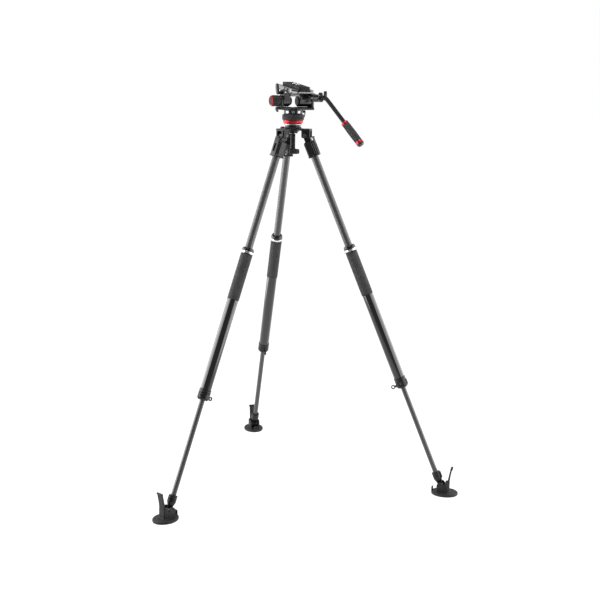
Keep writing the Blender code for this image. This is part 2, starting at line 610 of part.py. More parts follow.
# ---------------------------------------------------------------- pan bar
def build_pan_bar(tilt):
    """The rosette clamp, its wing knob, and the bent bar with its grip."""
    head = Matrix.Translation((*TRIPOD_AXIS, TILT_AXIS_HEIGHT)) @ Matrix.Rotation(TILT_ANGLE, 4, "X")
    pivot = empty("pan_bar_pivot", head @ Vector(BAR_PIVOT))
    clamp = rod("bar_clamp", "X", ROSETTE_RADIUS, -0.0095, 0.0110, look=SATIN_BLACK, parent=pivot)
    direction = Vector((math.cos(BAR_DIP) * math.cos(BAR_AZIMUTH), math.cos(BAR_DIP) * math.sin(BAR_AZIMUTH),
                        -math.sin(BAR_DIP)))
    stub = Vector((0, -1, 0))
    start, bend = stub * 0.0195, Vector(BAR_BEND)
    fuse(clamp,
         box("bar_socket", (-0.0090, -0.0192, -0.0095), (0.0095, 0.0, 0.0095), parent=pivot, bevel=0.0020),
         rod("clamp_lug", "X", 0.0105, -0.0030, 0.0080, at=(0, -0.0020, 0.0130), parent=pivot))
    cut(clamp, rod("wing_bore", "X", 0.0033, -0.02, 0.02, parent=pivot, segments=12))
    points = [start + stub * 0.0003]
    bend_start, bend_end = start + stub * 0.003, bend + direction * 0.028
    for i in range(BEND_STEPS + 1):
        t = i / BEND_STEPS
        points.append((1 - t) ** 2 * bend_start + 2 * t * (1 - t) * bend + t ** 2 * bend_end)
    grip_start = bend + direction * (BAR_LENGTH - GRIP_LENGTH)
    points.append(grip_start + direction * 0.012)
    wire("pan_bar", points, BAR_RADIUS, SATIN_BLACK, pivot)
    turn = direction.to_track_quat("-Z", "Y").to_euler()
    radius, bore = 0.0150, BAR_RADIUS + FIT_GAP
    turned("bar_collar", [(0.0120, 0.0), (0.0153, -0.0040), (0.0153, -0.0115), (bore, -0.0115), (bore, 0.0)],
           RED, pivot, location=grip_start, rotation=turn, ring=True)
    turned("bar_grip", [(0.0, -0.0123), (0.0140, -0.0123), (radius, -0.0145), (0.0158, -0.0600),
                        (radius, -GRIP_LENGTH + 0.0200), (0.0, -GRIP_LENGTH + 0.0200)], RUBBER, pivot,
           location=grip_start, rotation=turn)
    turned("bar_end_cap", [(0.0, -GRIP_LENGTH + 0.0197), (0.0155, -GRIP_LENGTH + 0.0197),
                           (0.0155, -GRIP_LENGTH + 0.0080), (0.0125, -GRIP_LENGTH + 0.0020),
                           (0.0, -GRIP_LENGTH)], RED, pivot, location=grip_start, rotation=turn)
    wing = rod("bar_wing_knob", "X", 0.0090, 0.0113, 0.0300, look=SATIN_BLACK, parent=pivot, segments=16)
    fuse(wing,
         box("wing_blade", (0.0210, -0.0085, 0.0), (0.0295, 0.0085, 0.0290), parent=pivot, bevel=0.0025,
             bevel_segments=1),
         rod("wing_screw", "X", 0.0030, -0.0180, 0.0120, parent=pivot, segments=12))


# ---------------------------------------------------------------- assembly
for leg_name, leg_degrees in LEG_AZIMUTHS.items():
    build_leg(leg_name, leg_degrees)

pan_axis = empty("pan_axis", (*TRIPOD_AXIS, 0))
build_crown(pan_axis)
build_ball(pan_axis)
build_base(pan_axis)
build_yoke(pan_axis)
build_tilt_knob(pan_axis)
tilt_axis = empty("tilt_axis", (0, 0, TILT_AXIS_HEIGHT), (TILT_ANGLE, 0, 0), parent=pan_axis)
build_tilting_part(tilt_axis)
build_pan_bar(tilt_axis)
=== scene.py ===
"""The looks of a video tripod with a fluid head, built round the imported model."""
import json
import math

import bmesh
import bpy
from mathutils import Matrix, Vector


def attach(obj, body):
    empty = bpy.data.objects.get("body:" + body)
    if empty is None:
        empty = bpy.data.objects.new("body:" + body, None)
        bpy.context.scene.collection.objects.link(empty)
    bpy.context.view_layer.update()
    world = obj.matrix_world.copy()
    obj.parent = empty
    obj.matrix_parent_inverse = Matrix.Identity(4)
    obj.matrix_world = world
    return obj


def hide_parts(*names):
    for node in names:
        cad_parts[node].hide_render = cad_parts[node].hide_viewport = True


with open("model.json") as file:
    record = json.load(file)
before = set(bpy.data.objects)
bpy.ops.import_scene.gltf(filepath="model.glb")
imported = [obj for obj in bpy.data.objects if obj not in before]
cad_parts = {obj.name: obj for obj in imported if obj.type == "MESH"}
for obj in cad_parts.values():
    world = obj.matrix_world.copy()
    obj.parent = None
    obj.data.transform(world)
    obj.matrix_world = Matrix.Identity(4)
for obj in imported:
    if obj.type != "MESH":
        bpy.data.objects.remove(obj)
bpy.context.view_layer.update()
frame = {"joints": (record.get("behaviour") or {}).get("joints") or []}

# ---------------------------------------------------------------- frames of the moving bodies
joints = {j["name"]: j for j in frame["joints"]}
LEGS = ("front", "left", "right")


def basis(origin, x, y, z):
    """The frame with those three axes at an origin."""
    made = Matrix((x, y, z)).transposed().to_4x4()
    made.translation = origin
    return made


def leg_frame(leg):
    """Origin at the hinge, -Z down the leg, +X on its outer side, Y along the hinge."""
    y = Vector(joints[f"leg_{leg}_swing"]["axis"])
    z = Vector(joints[f"leg_{leg}_middle_slide"]["axis"])
    return basis(Vector(joints[f"leg_{leg}_swing"]["pos_m"]), y.cross(z).normalized(), y, z)


def shoe_frame(leg):
    """Origin at the ankle, +X away from the tripod, Z up."""
    y = Vector(joints[f"leg_{leg}_shoe_rock"]["axis"])
    z = Vector((0, 0, 1))
    return basis(Vector(joints[f"leg_{leg}_shoe_rock"]["pos_m"]), y.cross(z), y, z)


def crown_arm(leg):
    """Origin on the pan axis at floor level, +X towards the leg."""
    y = Vector(joints[f"leg_{leg}_swing"]["axis"])
    z = Vector((0, 0, 1))
    return basis(PAN.translation.copy(), y.cross(z), y, z)


PAN = Matrix.Translation((*joints["pan"]["pos_m"][:2], 0.0))
TILT_Y = Vector(joints["plate_slide"]["axis"])
TILT = basis(Vector(joints["tilt"]["pos_m"]), Vector((1, 0, 0)), TILT_Y, Vector((1, 0, 0)).cross(TILT_Y))
BAR = Matrix.Translation(joints["pan_bar_swing"]["pos_m"])

# ---------------------------------------------------------------- sizes, in metres
GAP = 0.0003
# down the leg line, from its hinge
GRIP_TOP, GRIP_END = 0.513, 0.704
UPPER_TOP, UPPER_END = 0.0385, 0.621
MIDDLE_END = 1.078
LOWER_TOP, LOWER_END, BLOCK_TOP, ANKLE = 0.951, 1.536, 1.514, 1.5774
UPPER_R, MIDDLE_R, LOWER_R, GRIP_R = 0.0155, 0.0225, 0.0105, 0.0243
HALF_WIDTH, TONGUE = 0.0235, 0.0127
# heights of the crown and the head
BALL_Z, BALL_R, RIM_Z, ARM_Z = 1.5315, 0.0319, 1.5245, 1.519
ARM_REACH, CHEEK_Z = 0.0775, 1.479
RING_Z, DRAG_Z, NECK_Z, YOKE_Z, FLOOR_Z, TILT_Z = 1.5368, 1.5515, 1.5753, 1.5925, 1.604, 1.629
YOKE_L, YOKE_R, WALL = -0.066, 0.085, 0.0115
# places round the pan axis: the photo's side, and the level's seat on the crown
VIEW_AZIMUTH, LEVEL_AZIMUTH, LEVEL_REACH = math.radians(-116.4), math.radians(138.7), 0.045
LEVEL_AT = Vector((LEVEL_REACH * math.cos(LEVEL_AZIMUTH), LEVEL_REACH * math.sin(LEVEL_AZIMUTH), 1.5205))


# ---------------------------------------------------------------- mesh helpers
def finish_mesh(form):
    """The mesh of a form, with its faces turned outwards."""
    bmesh.ops.recalc_face_normals(form, faces=form.faces)
    mesh = bpy.data.meshes.new("form")
    form.to_mesh(mesh)
    form.free()
    return mesh


def soften(points, radius, steps=3, closed=False):
    """Rounds the corners of a row of points."""
    made = []
    count = len(points)
    for i, point in enumerate(points):
        if not closed and i in (0, count - 1):
            made.append(tuple(point))
            continue
        here, before, after = Vector(point), Vector(points[i - 1]), Vector(points[(i + 1) % count])
        a, b = before - here, after - here
        reach = min(radius, 0.45 * a.length, 0.45 * b.length)
        if reach < 1e-6:
            made.append(tuple(point))
            continue
        start, end = here + a.normalized() * reach, here + b.normalized() * reach
        for k in range(steps + 1):
            t = k / steps
            made.append(tuple(start * (1 - t) ** 2 + here * 2 * t * (1 - t) + end * t ** 2))
    return made


def lathe(profile, segments=72, ring=False, scale=(1.0, 1.0), offset=(0.0, 0.0), wave=None):
    """A turned mesh. Its UVs are the turn, from 0 to 1, and the length along the profile in metres."""
    form = bmesh.new()
    uv = form.loops.layers.uv.new("turned")
    rows, lengths, length = [], [], 0.0
    for i, (r, z) in enumerate(profile):
        if i:
            length += math.dist(profile[i], profile[i - 1])
        lengths.append(length)
        if r < 1e-6:
            rows.append([form.verts.new((offset[0], offset[1], z))] * segments)
            continue
        row = []
        for k in range(segments):
            angle = 2 * math.pi * k / segments
            far = r + (wave(angle, r, z) if wave else 0.0)
            row.append(form.verts.new((offset[0] + far * scale[0] * math.cos(angle),
                                       offset[1] + far * scale[1] * math.sin(angle), z)))
        rows.append(row)
    pairs = [(i, i + 1) for i in range(len(rows) - 1)]
    if ring:
        pairs.append((len(rows) - 1, 0))
    for a, b in pairs:
        end = lengths[b] if b else length + math.dist(profile[a], profile[0])
        for k in range(segments):
            n = (k + 1) % segments
            corners = [(rows[a][k], k, lengths[a]), (rows[a][n], k + 1, lengths[a]),
                       (rows[b][n], k + 1, end), (rows[b][k], k, end)]
            kept = []
            for corner in corners:
                if corner[0] not in [c[0] for c in kept]:
                    kept.append(corner)
            if len(kept) < 3:
                continue
            face = form.faces.new([c[0] for c in kept])
            face.smooth = True
            for loop, corner in zip(face.loops, kept):
                loop[uv].uv = (corner[1] / segments, corner[2])
    return finish_mesh(form)


def turned_ring(loop, radius, segments=96, steps=2):
    """A turned ring with rounded corners, from the outline of its section."""
    return lathe(soften(loop, radius, steps, closed=True), segments, ring=True)


def round_edges(form, width, segments):
    """Rounds every edge of a form."""
    if width:
        bmesh.ops.bevel(form, geom=form.edges[:], offset=width, segments=segments, profile=0.5,
                        affect="EDGES", clamp_overlap=True)


def block(low, high, bevel=0.0, segments=3):
    """A box between two corners."""
    size, middle = Vector(high) - Vector(low), (Vector(high) + Vector(low)) / 2
    form = bmesh.new()
    bmesh.ops.create_cube(form, size=1.0, matrix=Matrix.Translation(middle) @ Matrix.Diagonal((*size, 1.0)))
    round_edges(form, bevel, segments)
    return finish_mesh(form)


def rod(axis, radius, start, end, at=(0, 0, 0), tip=None, segments=48, bevel=0.0):
    """A cylinder or cone along X, Y or Z."""
    direction = {"X": Vector((1, 0, 0)), "Y": Vector((0, 1, 0)), "Z": Vector((0, 0, 1))}[axis]
    turn = direction.to_track_quat("Z", "Y").to_matrix().to_4x4()
    end_radius = radius if tip is None else tip
    half = (end - start) / 2
    profile = [(0.0, -half), (radius, -half), (end_radius, half), (0.0, half)]
    mesh = lathe(soften(profile, bevel) if bevel else profile, segments)
    mesh.transform(Matrix.Translation(Vector(at) + direction * (start + end) / 2) @ turn)
    return mesh


def prism(outline, thickness, bevel=0.0, segments=2, across="Z", at=(0, 0, 0)):
    """An outline thickened evenly to both sides of its plane: XY across Z, or XZ across Y, or YZ across X."""
    form = bmesh.new()
    low = [form.verts.new((x, y, -thickness / 2)) for x, y in outline]
    high = [form.verts.new((x, y, thickness / 2)) for x, y in outline]
    form.faces.new(low[::-1])
    form.faces.new(high)
    for i in range(len(outline)):
        n = (i + 1) % len(outline)
        form.faces.new((low[i], low[n], high[n], high[i]))
    if bevel:
        rims = [e for e in form.edges if e.verts[0].co.z * e.verts[1].co.z > 0]
        bmesh.ops.bevel(form, geom=rims, offset=bevel, segments=segments, profile=0.5, affect="EDGES",
                        clamp_overlap=True)
    turn = {"Z": Matrix.Identity(4), "Y": Matrix.Rotation(math.radians(90), 4, "X"),
            "X": Matrix(((0, 0, 1, 0), (1, 0, 0, 0), (0, 1, 0, 0), (0, 0, 0, 1)))}[across]
    mesh = finish_mesh(form)
    mesh.transform(Matrix.Translation(at) @ turn)
    return mesh


def sweep(points, radii, segments=24):
    """A round bar along points, with one radius for each."""
    form = bmesh.new()
    path = [Vector(p) for p in points]
    side, rows = None, []
    for i, here in enumerate(path):
        tangent = (path[min(i + 1, len(path) - 1)] - path[max(i - 1, 0)]).normalized()
        if side is None:
            side = tangent.orthogonal().normalized()
        side = (side - tangent * side.dot(tangent)).normalized()
        up = tangent.cross(side)
        rows.append([form.verts.new(here + radii[i] * (math.cos(2 * math.pi * k / segments) * side
                                                       + math.sin(2 * math.pi * k / segments) * up))
                     for k in range(segments)])
    for a, b in zip(rows, rows[1:]):
        for k in range(segments):
            n = (k + 1) % segments
            form.faces.new((a[k], a[n], b[n], b[k]))
    form.faces.new(rows[0][::-1])
    form.faces.new(rows[-1])
    return finish_mesh(form)


def moved(mesh, matrix):
    made = mesh.copy()
    made.transform(matrix)
    return made


def joined(*meshes):
    form = bmesh.new()
    for mesh in meshes:
        form.from_mesh(mesh)
    made = bpy.data.meshes.new("joined")
    form.to_mesh(made)
    form.free()
    return made


def temporary(mesh):
    made = bpy.data.objects.new("temporary", mesh)
    bpy.context.scene.collection.objects.link(made)
    return made


def applied(holder, *tools):
    """The mesh with its modifiers applied; the temporary objects are removed."""
    bpy.context.view_layer.update()
    mesh = bpy.data.meshes.new_from_object(holder.evaluated_get(bpy.context.evaluated_depsgraph_get()))
    for old in (holder, *tools):
        bpy.data.objects.remove(old, do_unlink=True)
    return mesh


def carved(adds, cuts=()):
    """One solid: the first mesh, with the others fused on and then the cuts taken out."""
    holder = temporary(adds[0])
    tools = []
    for operation, meshes in (("UNION", adds[1:]), ("DIFFERENCE", cuts)):
        for mesh in meshes:
            tool = temporary(mesh)
            tools.append(tool)
            change = holder.modifiers.new("carve", "BOOLEAN")
            change.operation, change.object, change.solver = operation, tool, "MANIFOLD"
    return applied(holder, *tools)


def cast(mesh, voxel=0.0008, smooth=3, ratio=0.5):
    """Softens every edge of a solid, as a casting or a moulding has them."""
    holder = temporary(mesh)
    remesh = holder.modifiers.new("voxels", "REMESH")
    remesh.mode, remesh.voxel_size, remesh.use_smooth_shade = "VOXEL", voxel, True
    ease = holder.modifiers.new("ease", "SMOOTH")
    ease.factor, ease.iterations = 0.5, smooth
    if ratio < 1:
        fewer = holder.modifiers.new("fewer", "DECIMATE")
        fewer.ratio = ratio
    return applied(holder)


def edged(mesh, width=0.0006, segments=2, angle=35):
    """Bevels the sharp edges of a solid."""
    holder = temporary(mesh)
    rounding = holder.modifiers.new("edges", "BEVEL")
    rounding.width, rounding.segments, rounding.limit_method = width, segments, "ANGLE"
    rounding.angle_limit = math.radians(angle)
    rounding.harden_normals = False
    return applied(holder)


def piece(name, mesh, look, where, body, slot, *replaced, sharp=35.0):
    """Puts a mesh in a body's frame as a piece of the visual model."""
    mesh.materials.clear()
    mesh.materials.append(look)
    mesh.shade_smooth()
    mesh.set_sharp_from_angle(angle=math.radians(sharp))
    made = bpy.data.objects.new(name, mesh)
    bpy.context.scene.collection.objects.link(made)
    made.matrix_world = where
    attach(made, body)
    if replaced:
        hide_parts(*replaced)
    return made


# ---------------------------------------------------------------- materials
class Graph:
    """The node tree of a material, with short ways to add what the surfaces need."""

    def __init__(self, name, metallic=0.0, coat=0.0, coat_roughness=0.08, specular=0.5):
        self.material = bpy.data.materials.new(name)
        self.material.use_nodes = True
        self.tree = self.material.node_tree
        self.shader = self.tree.nodes["Principled BSDF"]
        for socket, value in (("Metallic", metallic), ("Coat Weight", coat),
                              ("Coat Roughness", coat_roughness), ("Specular IOR Level", specular)):
            self.shader.inputs[socket].default_value = value
        self.coordinates = self.tree.nodes.new("ShaderNodeTexCoord")

    def feed(self, socket, value):
        if isinstance(value, bpy.types.NodeSocket):
            self.tree.links.new(value, socket)
        elif isinstance(value, tuple) and len(value) == 3 and len(socket.default_value) == 4:
            socket.default_value = (*value, 1.0)
        else:
            socket.default_value = value

    def maths(self, operation, *values):
        node = self.tree.nodes.new("ShaderNodeMath")
        node.operation = operation
        for socket, value in zip(node.inputs, values):
            self.feed(socket, value)
        return node.outputs[0]

    def noise(self, scale, detail=3.0, stretch=(1.0, 1.0, 1.0), source="Object"):
        place = self.tree.nodes.new("ShaderNodeMapping")
        self.feed(place.inputs["Vector"], self.coordinates.outputs[source])
        self.feed(place.inputs["Scale"], stretch)
        node = self.tree.nodes.new("ShaderNodeTexNoise")
        self.feed(node.inputs["Vector"], place.outputs[0])
        self.feed(node.inputs["Scale"], scale)
        self.feed(node.inputs["Detail"], detail)
        return node.outputs["Fac"]

    def span(self, value, low, high, start=0.3, end=0.7):
        """A value between start and end brought to between low and high."""
        node = self.tree.nodes.new("ShaderNodeMapRange")
        for socket, given in zip(node.inputs, (value, start, end, low, high)):
            self.feed(socket, given)
        return node.outputs[0]

    def mix(self, factor, one, other):
        node = self.tree.nodes.new("ShaderNodeMix")
        node.data_type = "RGBA"
        self.feed(node.inputs[0], factor)
        self.feed(node.inputs[6], one)
        self.feed(node.inputs[7], other)
        return node.outputs[2]

    def turned_uv(self):
        """The place round a turned piece and along it."""
        node = self.tree.nodes.new("ShaderNodeSeparateXYZ")
        self.feed(node.inputs[0], self.coordinates.outputs["UV"])
        return node.outputs[0], node.outputs[1]

    def edges(self, start=0.515, end=0.6):
        node = self.tree.nodes.new("ShaderNodeNewGeometry")
        return self.span(node.outputs["Pointiness"], 0.0, 1.0, start, end)

    def close(self, colour, roughness, height, depth, coat_relief=False):
        self.feed(self.shader.inputs["Base Color"], colour)
        self.feed(self.shader.inputs["Roughness"], roughness)
        bump = self.tree.nodes.new("ShaderNodeBump")
        self.feed(bump.inputs["Height"], height)
        bump.inputs["Distance"].default_value = depth
        bump.inputs["Strength"].default_value = 1.0
        self.feed(self.shader.inputs["Normal"], bump.outputs[0])
        if coat_relief:
            self.feed(self.shader.inputs["Coat Normal"], bump.outputs[0])
        return self.material


def surface(name, dark, light, roughness, metallic=0.0, grain=1100.0, depth=0.00003, stretch=(1.0, 1.0, 1.0),
            wear_and_highlight=None, wear_and_highlight_amount=0.0, coat=0.0, specular=0.5):
    """A mottled finish with a fine grain and handling marks in its gloss; its edges can be brought to a tone,
    as wear and as a painted edge highlight.
    """
    graph = Graph(name, metallic, coat, specular=specular)
    mottle, marks, fine = graph.noise(38.0), graph.noise(120.0, 5.0), graph.noise(grain, 2.0, stretch)
    colour = graph.mix(graph.span(mottle, 0.0, 1.0), dark, light)
    rough = graph.maths("ADD", graph.span(marks, roughness - 0.05, roughness + 0.06),
                        graph.span(fine, -0.02, 0.02))
    # Edges brought to a lighter tone: real wear on most finishes, and a painted highlight on the crown's
    # casting.
    if wear_and_highlight:
        rub_and_highlight = graph.maths("MULTIPLY", graph.edges(), graph.span(marks, 0.25 * wear_and_highlight_amount, wear_and_highlight_amount))
        colour = graph.mix(rub_and_highlight, colour, wear_and_highlight)
    return graph.close(colour, rough, fine, depth)


def brushed(name, dark, light, roughness, metallic=1.0, lines=2600.0):
    """Metal turned on a lathe: fine lines run round it."""
    graph = Graph(name, metallic)
    graph.shader.inputs["Anisotropic"].default_value = 0.35
    fine = graph.noise(lines, 2.0, (0.004, 1.0, 1.0), "UV")
    marks = graph.noise(90.0, 4.0)
    colour = graph.mix(graph.span(fine, 0.0, 1.0), dark, light)
    rough = graph.span(marks, roughness - 0.05, roughness + 0.07)
    return graph.close(colour, rough, fine, 0.00001)


def carbon(name, radius, dark, light, roughness):
    """Twill-woven fibre under a satin lacquer, laid round a tube of that radius."""
    graph = Graph(name, coat=0.35, coat_roughness=0.24)
    around, along = graph.turned_uv()
    tow = 0.0022
    count = round(2 * math.pi * radius / tow / 4) * 4
    x = graph.maths("MULTIPLY", around, float(count))
    y = graph.maths("DIVIDE", along, tow)
    steps = graph.maths("ADD", graph.maths("FLOOR", x), graph.maths("FLOOR", y))
    over = graph.maths("LESS_THAN", graph.maths("FRACT", graph.maths("MULTIPLY", steps, 0.25)), 0.5)
    warp = graph.maths("SINE", graph.maths("MULTIPLY", graph.maths("FRACT", x), math.pi))
    weft = graph.maths("SINE", graph.maths("MULTIPLY", graph.maths("FRACT", y), math.pi))
    crown_of_tow = graph.maths("ADD", graph.maths("MULTIPLY", over, warp),
                               graph.maths("MULTIPLY", graph.maths("SUBTRACT", 1.0, over), weft))
    strands = graph.noise(1500.0, 2.0)
    tone = graph.maths("MULTIPLY_ADD", over, 0.55, graph.span(strands, 0.0, 0.45))
    colour = graph.mix(tone, dark, light)
    rough = graph.maths("ADD", graph.span(graph.noise(60.0, 4.0), roughness - 0.04, roughness + 0.05),
                        graph.maths("MULTIPLY", over, 0.06))
    return graph.close(colour, rough, crown_of_tow, 0.00006)


def moulded_grip(name, radius, pitch, dark, light, depth):
    """Rubber with rows of small moulded lozenges round a turned grip, with painted shade in the grooves
    between them.
    """
    graph = Graph(name, specular=0.35)
    around, along = graph.turned_uv()
    x = graph.maths("MULTIPLY", around, float(round(2 * math.pi * radius / pitch)))
    y = graph.maths("DIVIDE", along, pitch)
    one = graph.maths("SINE", graph.maths("MULTIPLY", graph.maths("ADD", x, y), math.pi * 2))
    other = graph.maths("SINE", graph.maths("MULTIPLY", graph.maths("SUBTRACT", x, y), math.pi * 2))
    lozenge = graph.span(graph.maths("MULTIPLY", one, other), 0.0, 1.0, -0.15, 0.45)
    grain = graph.noise(1300.0, 3.0)
    height = graph.maths("MULTIPLY_ADD", grain, 0.25, lozenge)
    # Painted shade: the raised lozenges are coloured lighter than the grooves between them.
    colour = graph.mix(graph.maths("MULTIPLY_ADD", lozenge, 0.6, graph.span(graph.noise(30.0), 0.0, 0.4)),
                       dark, light)
    return graph.close(colour, graph.span(graph.noise(80.0, 4.0), 0.62, 0.8), height, depth)


def liquid(name, tint):
    """The clear filling of the level."""
    graph = Graph(name)
    graph.shader.inputs["Transmission Weight"].default_value = 0.85
    graph.shader.inputs["IOR"].default_value = 1.45
    mottle = graph.noise(300.0, 2.0)
    colour = graph.mix(graph.span(mottle, 0.0, 1.0), tint, tuple(0.85 * c for c in tint))
    return graph.close(colour, 0.04, mottle, 0.000004)


BLACK = surface("satin black casting", (0.0035, 0.0035, 0.004), (0.0075, 0.0075, 0.0082), 0.27,
                depth=0.000012, specular=0.32, wear_and_highlight=(0.16, 0.16, 0.165), wear_and_highlight_amount=0.22)
# The crown's casting: its edges are brought to a pale grey that is partly bare machined chamfer and partly
# painted highlight.
EDGE_HIGHLIGHT_BLACK = surface("black casting with painted edge highlights", (0.0035, 0.0035, 0.004), (0.008, 0.008, 0.0088), 0.3,
                     depth=0.000012, specular=0.24, wear_and_highlight=(0.42, 0.42, 0.43), wear_and_highlight_amount=0.45)
DEEP_BLACK = surface("smooth black enamel", (0.0022, 0.0022, 0.0026), (0.0042, 0.0042, 0.0047), 0.17,
                     grain=700.0, depth=0.000005, coat=0.15, specular=0.4)
BAR_BLACK = surface("painted bar", (0.003, 0.003, 0.0034), (0.006, 0.006, 0.0065), 0.3, depth=0.000008,
                    specular=0.12, wear_and_highlight=(0.1, 0.1, 0.1), wear_and_highlight_amount=0.15)
MATT_BLACK = surface("matt black alloy", (0.004, 0.004, 0.0045), (0.008, 0.008, 0.0085), 0.52, depth=0.00002,
                     specular=0.16)
PLASTIC = surface("textured black plastic", (0.006, 0.006, 0.0065), (0.012, 0.012, 0.013), 0.36, grain=1500.0,
                  depth=0.00004, specular=0.4)
RUBBER = surface("black rubber", (0.007, 0.007, 0.0075), (0.016, 0.016, 0.017), 0.6, grain=1700.0,
                 depth=0.0001, wear_and_highlight=(0.06, 0.06, 0.062), wear_and_highlight_amount=0.45, specular=0.32)
PAD_RUBBER = surface("ribbed pad rubber", (0.006, 0.006, 0.0065), (0.013, 0.013, 0.014), 0.55, grain=1700.0,
                     depth=0.00008, specular=0.14)
GREY = surface("grey anodised alloy", (0.115, 0.115, 0.118), (0.16, 0.16, 0.163), 0.36, metallic=0.85,
               grain=2400.0, depth=0.000015, wear_and_highlight=(0.5, 0.5, 0.5), wear_and_highlight_amount=0.5)
RED = surface("red anodised alloy", (0.36, 0.006, 0.013), (0.45, 0.012, 0.021), 0.24, metallic=0.65,
              grain=2400.0, depth=0.00001, wear_and_highlight=(0.75, 0.22, 0.24), wear_and_highlight_amount=0.5)
# The tilt knob's disc: a darker copy of the red anodised alloy, its darker colour painted shade.
SHADED_RED = surface("red anodised alloy painted darker as shade", (0.16, 0.003, 0.008), (0.22, 0.006, 0.012), 0.3, metallic=0.7,
                   grain=2400.0, depth=0.00001, wear_and_highlight=(0.6, 0.16, 0.18), wear_and_highlight_amount=0.4)
SILVER = brushed("turned bright alloy", (0.6, 0.6, 0.59), (0.82, 0.82, 0.81), 0.22)
SATIN_SILVER = brushed("satin turned alloy", (0.26, 0.26, 0.26), (0.4, 0.4, 0.4), 0.34)
STEEL = surface("brushed steel", (0.42, 0.42, 0.42), (0.62, 0.62, 0.61), 0.26, metallic=1.0, grain=900.0,
                depth=0.00001, stretch=(1.0, 1.0, 12.0))
DARK_STEEL = surface("blackened steel", (0.045, 0.045, 0.047), (0.085, 0.085, 0.088), 0.32, metallic=0.9,
                     grain=900.0, depth=0.00001, wear_and_highlight=(0.4, 0.4, 0.4), wear_and_highlight_amount=0.6)
GLOSS = surface("gloss black lacquer", (0.003, 0.003, 0.0035), (0.005, 0.005, 0.0055), 0.12, grain=260.0,
                depth=0.000004, coat=0.5)
UPPER_WEAVE = carbon("upper tube weave", UPPER_R, (0.014, 0.014, 0.015), (0.046, 0.047, 0.049), 0.34)
LOWER_WEAVE = carbon("lower tube weave", LOWER_R, (0.014, 0.014, 0.015), (0.046, 0.047, 0.049), 0.34)
LEG_GRIP = moulded_grip("leg grip rubber", GRIP_R, 0.003, (0.016, 0.016, 0.017), (0.04, 0.04, 0.042), 0.00035)
BAR_GRIP = moulded_grip("bar grip rubber", 0.0155, 0.0026, (0.014, 0.014, 0.015), (0.04, 0.04, 0.041), 0.0004)
VIAL = liquid("red level fluid", (0.75, 0.05, 0.06))


# ---------------------------------------------------------------- legs, made once and placed three times
def screw_head(radius, height):
    """A socket-head screw: its top at z = height, with its recess."""
    profile = soften([(0.0, -0.001), (radius, -0.001), (radius, height), (0.55 * radius, height),
                      (0.5 * radius, 0.25 * height), (0.0, 0.25 * height)], 0.0003, 2)
    return lathe(profile, 30)


def facing(direction, at):
    """The turn that points +Z along a direction, at a place."""
    made = Vector(direction).to_track_quat("Z", "Y").to_matrix().to_4x4()
    made.translation = at
    return made


def bracket_mesh():
    """The fitting that holds the upper tube and hangs on the crown's hinge by its tongue."""
    half = HALF_WIDTH
    body = block((-0.0208, -half + 0.0003, -0.0926), (0.0208, half - 0.0003, -0.0255), 0.0085, 4)
    tongue = block((-0.013, -TONGUE + 0.0002, -0.037), (0.013, TONGUE - 0.0002, 0.0), 0.0012, 2)
    barrel = rod("Y", 0.014, -TONGUE + 0.0002, TONGUE - 0.0002, bevel=0.001)
    lip = block((-0.021, -half, -0.093), (0.021, half, -0.0868), 0.003, 3)
    adds = [body, tongue, barrel, lip]
    cuts = [rod("Z", UPPER_R + GAP, -0.11, -0.038), rod("Y", 0.0043, -0.04, 0.04)]
    for side in (-1, 1):
        low, high = sorted((side * (half - 0.0012), side * (half + 0.01)))
        cuts.append(block((-0.0125, low, -0.082), (0.0125, high, -0.0345), 0.0008, 2))
        cuts.append(rod("Y", 0.004, low, high, at=(0.0, 0.0, -0.09)))
    cuts.append(block((-0.023, -0.0009, -0.095), (-0.014, 0.0009, -0.06)))
    for z in (-0.069, -0.081):
        cuts.append(rod("X", 0.0036, -0.023, -0.0195, at=(0.0, 0.0105, z)))
    return cast(carved(adds, cuts), 0.0009, 2, 0.45)


def latch_mesh():
    """A blade in the leg's own frame, with its hooked lip and three finger ridges."""
    foot, top = -0.089, -0.0125
    blade = block((0.0226, -0.0138, foot - 0.0033), (0.0254, 0.0138, top), 0.0012, 3)
    lip = block((0.0245, -0.0098, top - 0.0068), (0.0288, 0.0098, top - 0.0014), 0.0014, 3)
    ridges = [rod("Y", 0.0007, -0.009, 0.009, at=(0.0254, 0.0, top - 0.0105 - 0.0028 * i), segments=12)
              for i in range(3)]
    window = block((0.02, -0.006, foot + 0.012), (0.03, 0.006, foot + 0.046), 0.0015, 3)
    return joined(carved([blade, lip], [window]), *ridges)


def pin_mesh():
    """The hinge pin with a screw head at each end."""
    half = HALF_WIDTH + 0.0006
    ends = [moved(screw_head(0.0062, 0.0013), facing((0, side, 0), (0, side * half, 0))) for side in (-1, 1)]
    return joined(rod("Y", 0.004, -half, half, segments=32), *ends)


def sleeve(outer, bore, top, foot, lip=0.0008, rows=1):
    """A ring on the leg's line with eased edges; its outer wall is a row of even steps."""
    steps = [(outer, top + (foot - top) * k / rows) for k in range(1, rows)]
    return turned_ring([(bore, top), (outer, top), *steps, (outer, foot), (bore, foot)], lip, 96, 3)


def collar_mesh():
    """The funnel-shaped cap of the middle stage, with the seat of its bright ring."""
    loop = [(0.0158, -0.4862), (0.018, -0.485), (0.0206, -0.4851), (0.0236, -0.4885), (0.0248, -0.4935),
            (0.0248, -0.5008), (0.024, -0.5011), (0.024, -0.509), (0.0247, -0.5093), (0.0247, -0.5127),
            (0.0158, -0.5127)]
    return turned_ring(loop, 0.0005)


def bright_ring_mesh():
    """The polished ring in the collar's seat."""
    loop = [(0.0241, -0.5012), (0.0252, -0.5012), (0.0254, -0.503), (0.0254, -0.5072), (0.0252, -0.5089),
            (0.0241, -0.5089)]
    return turned_ring(loop, 0.0004, 120)


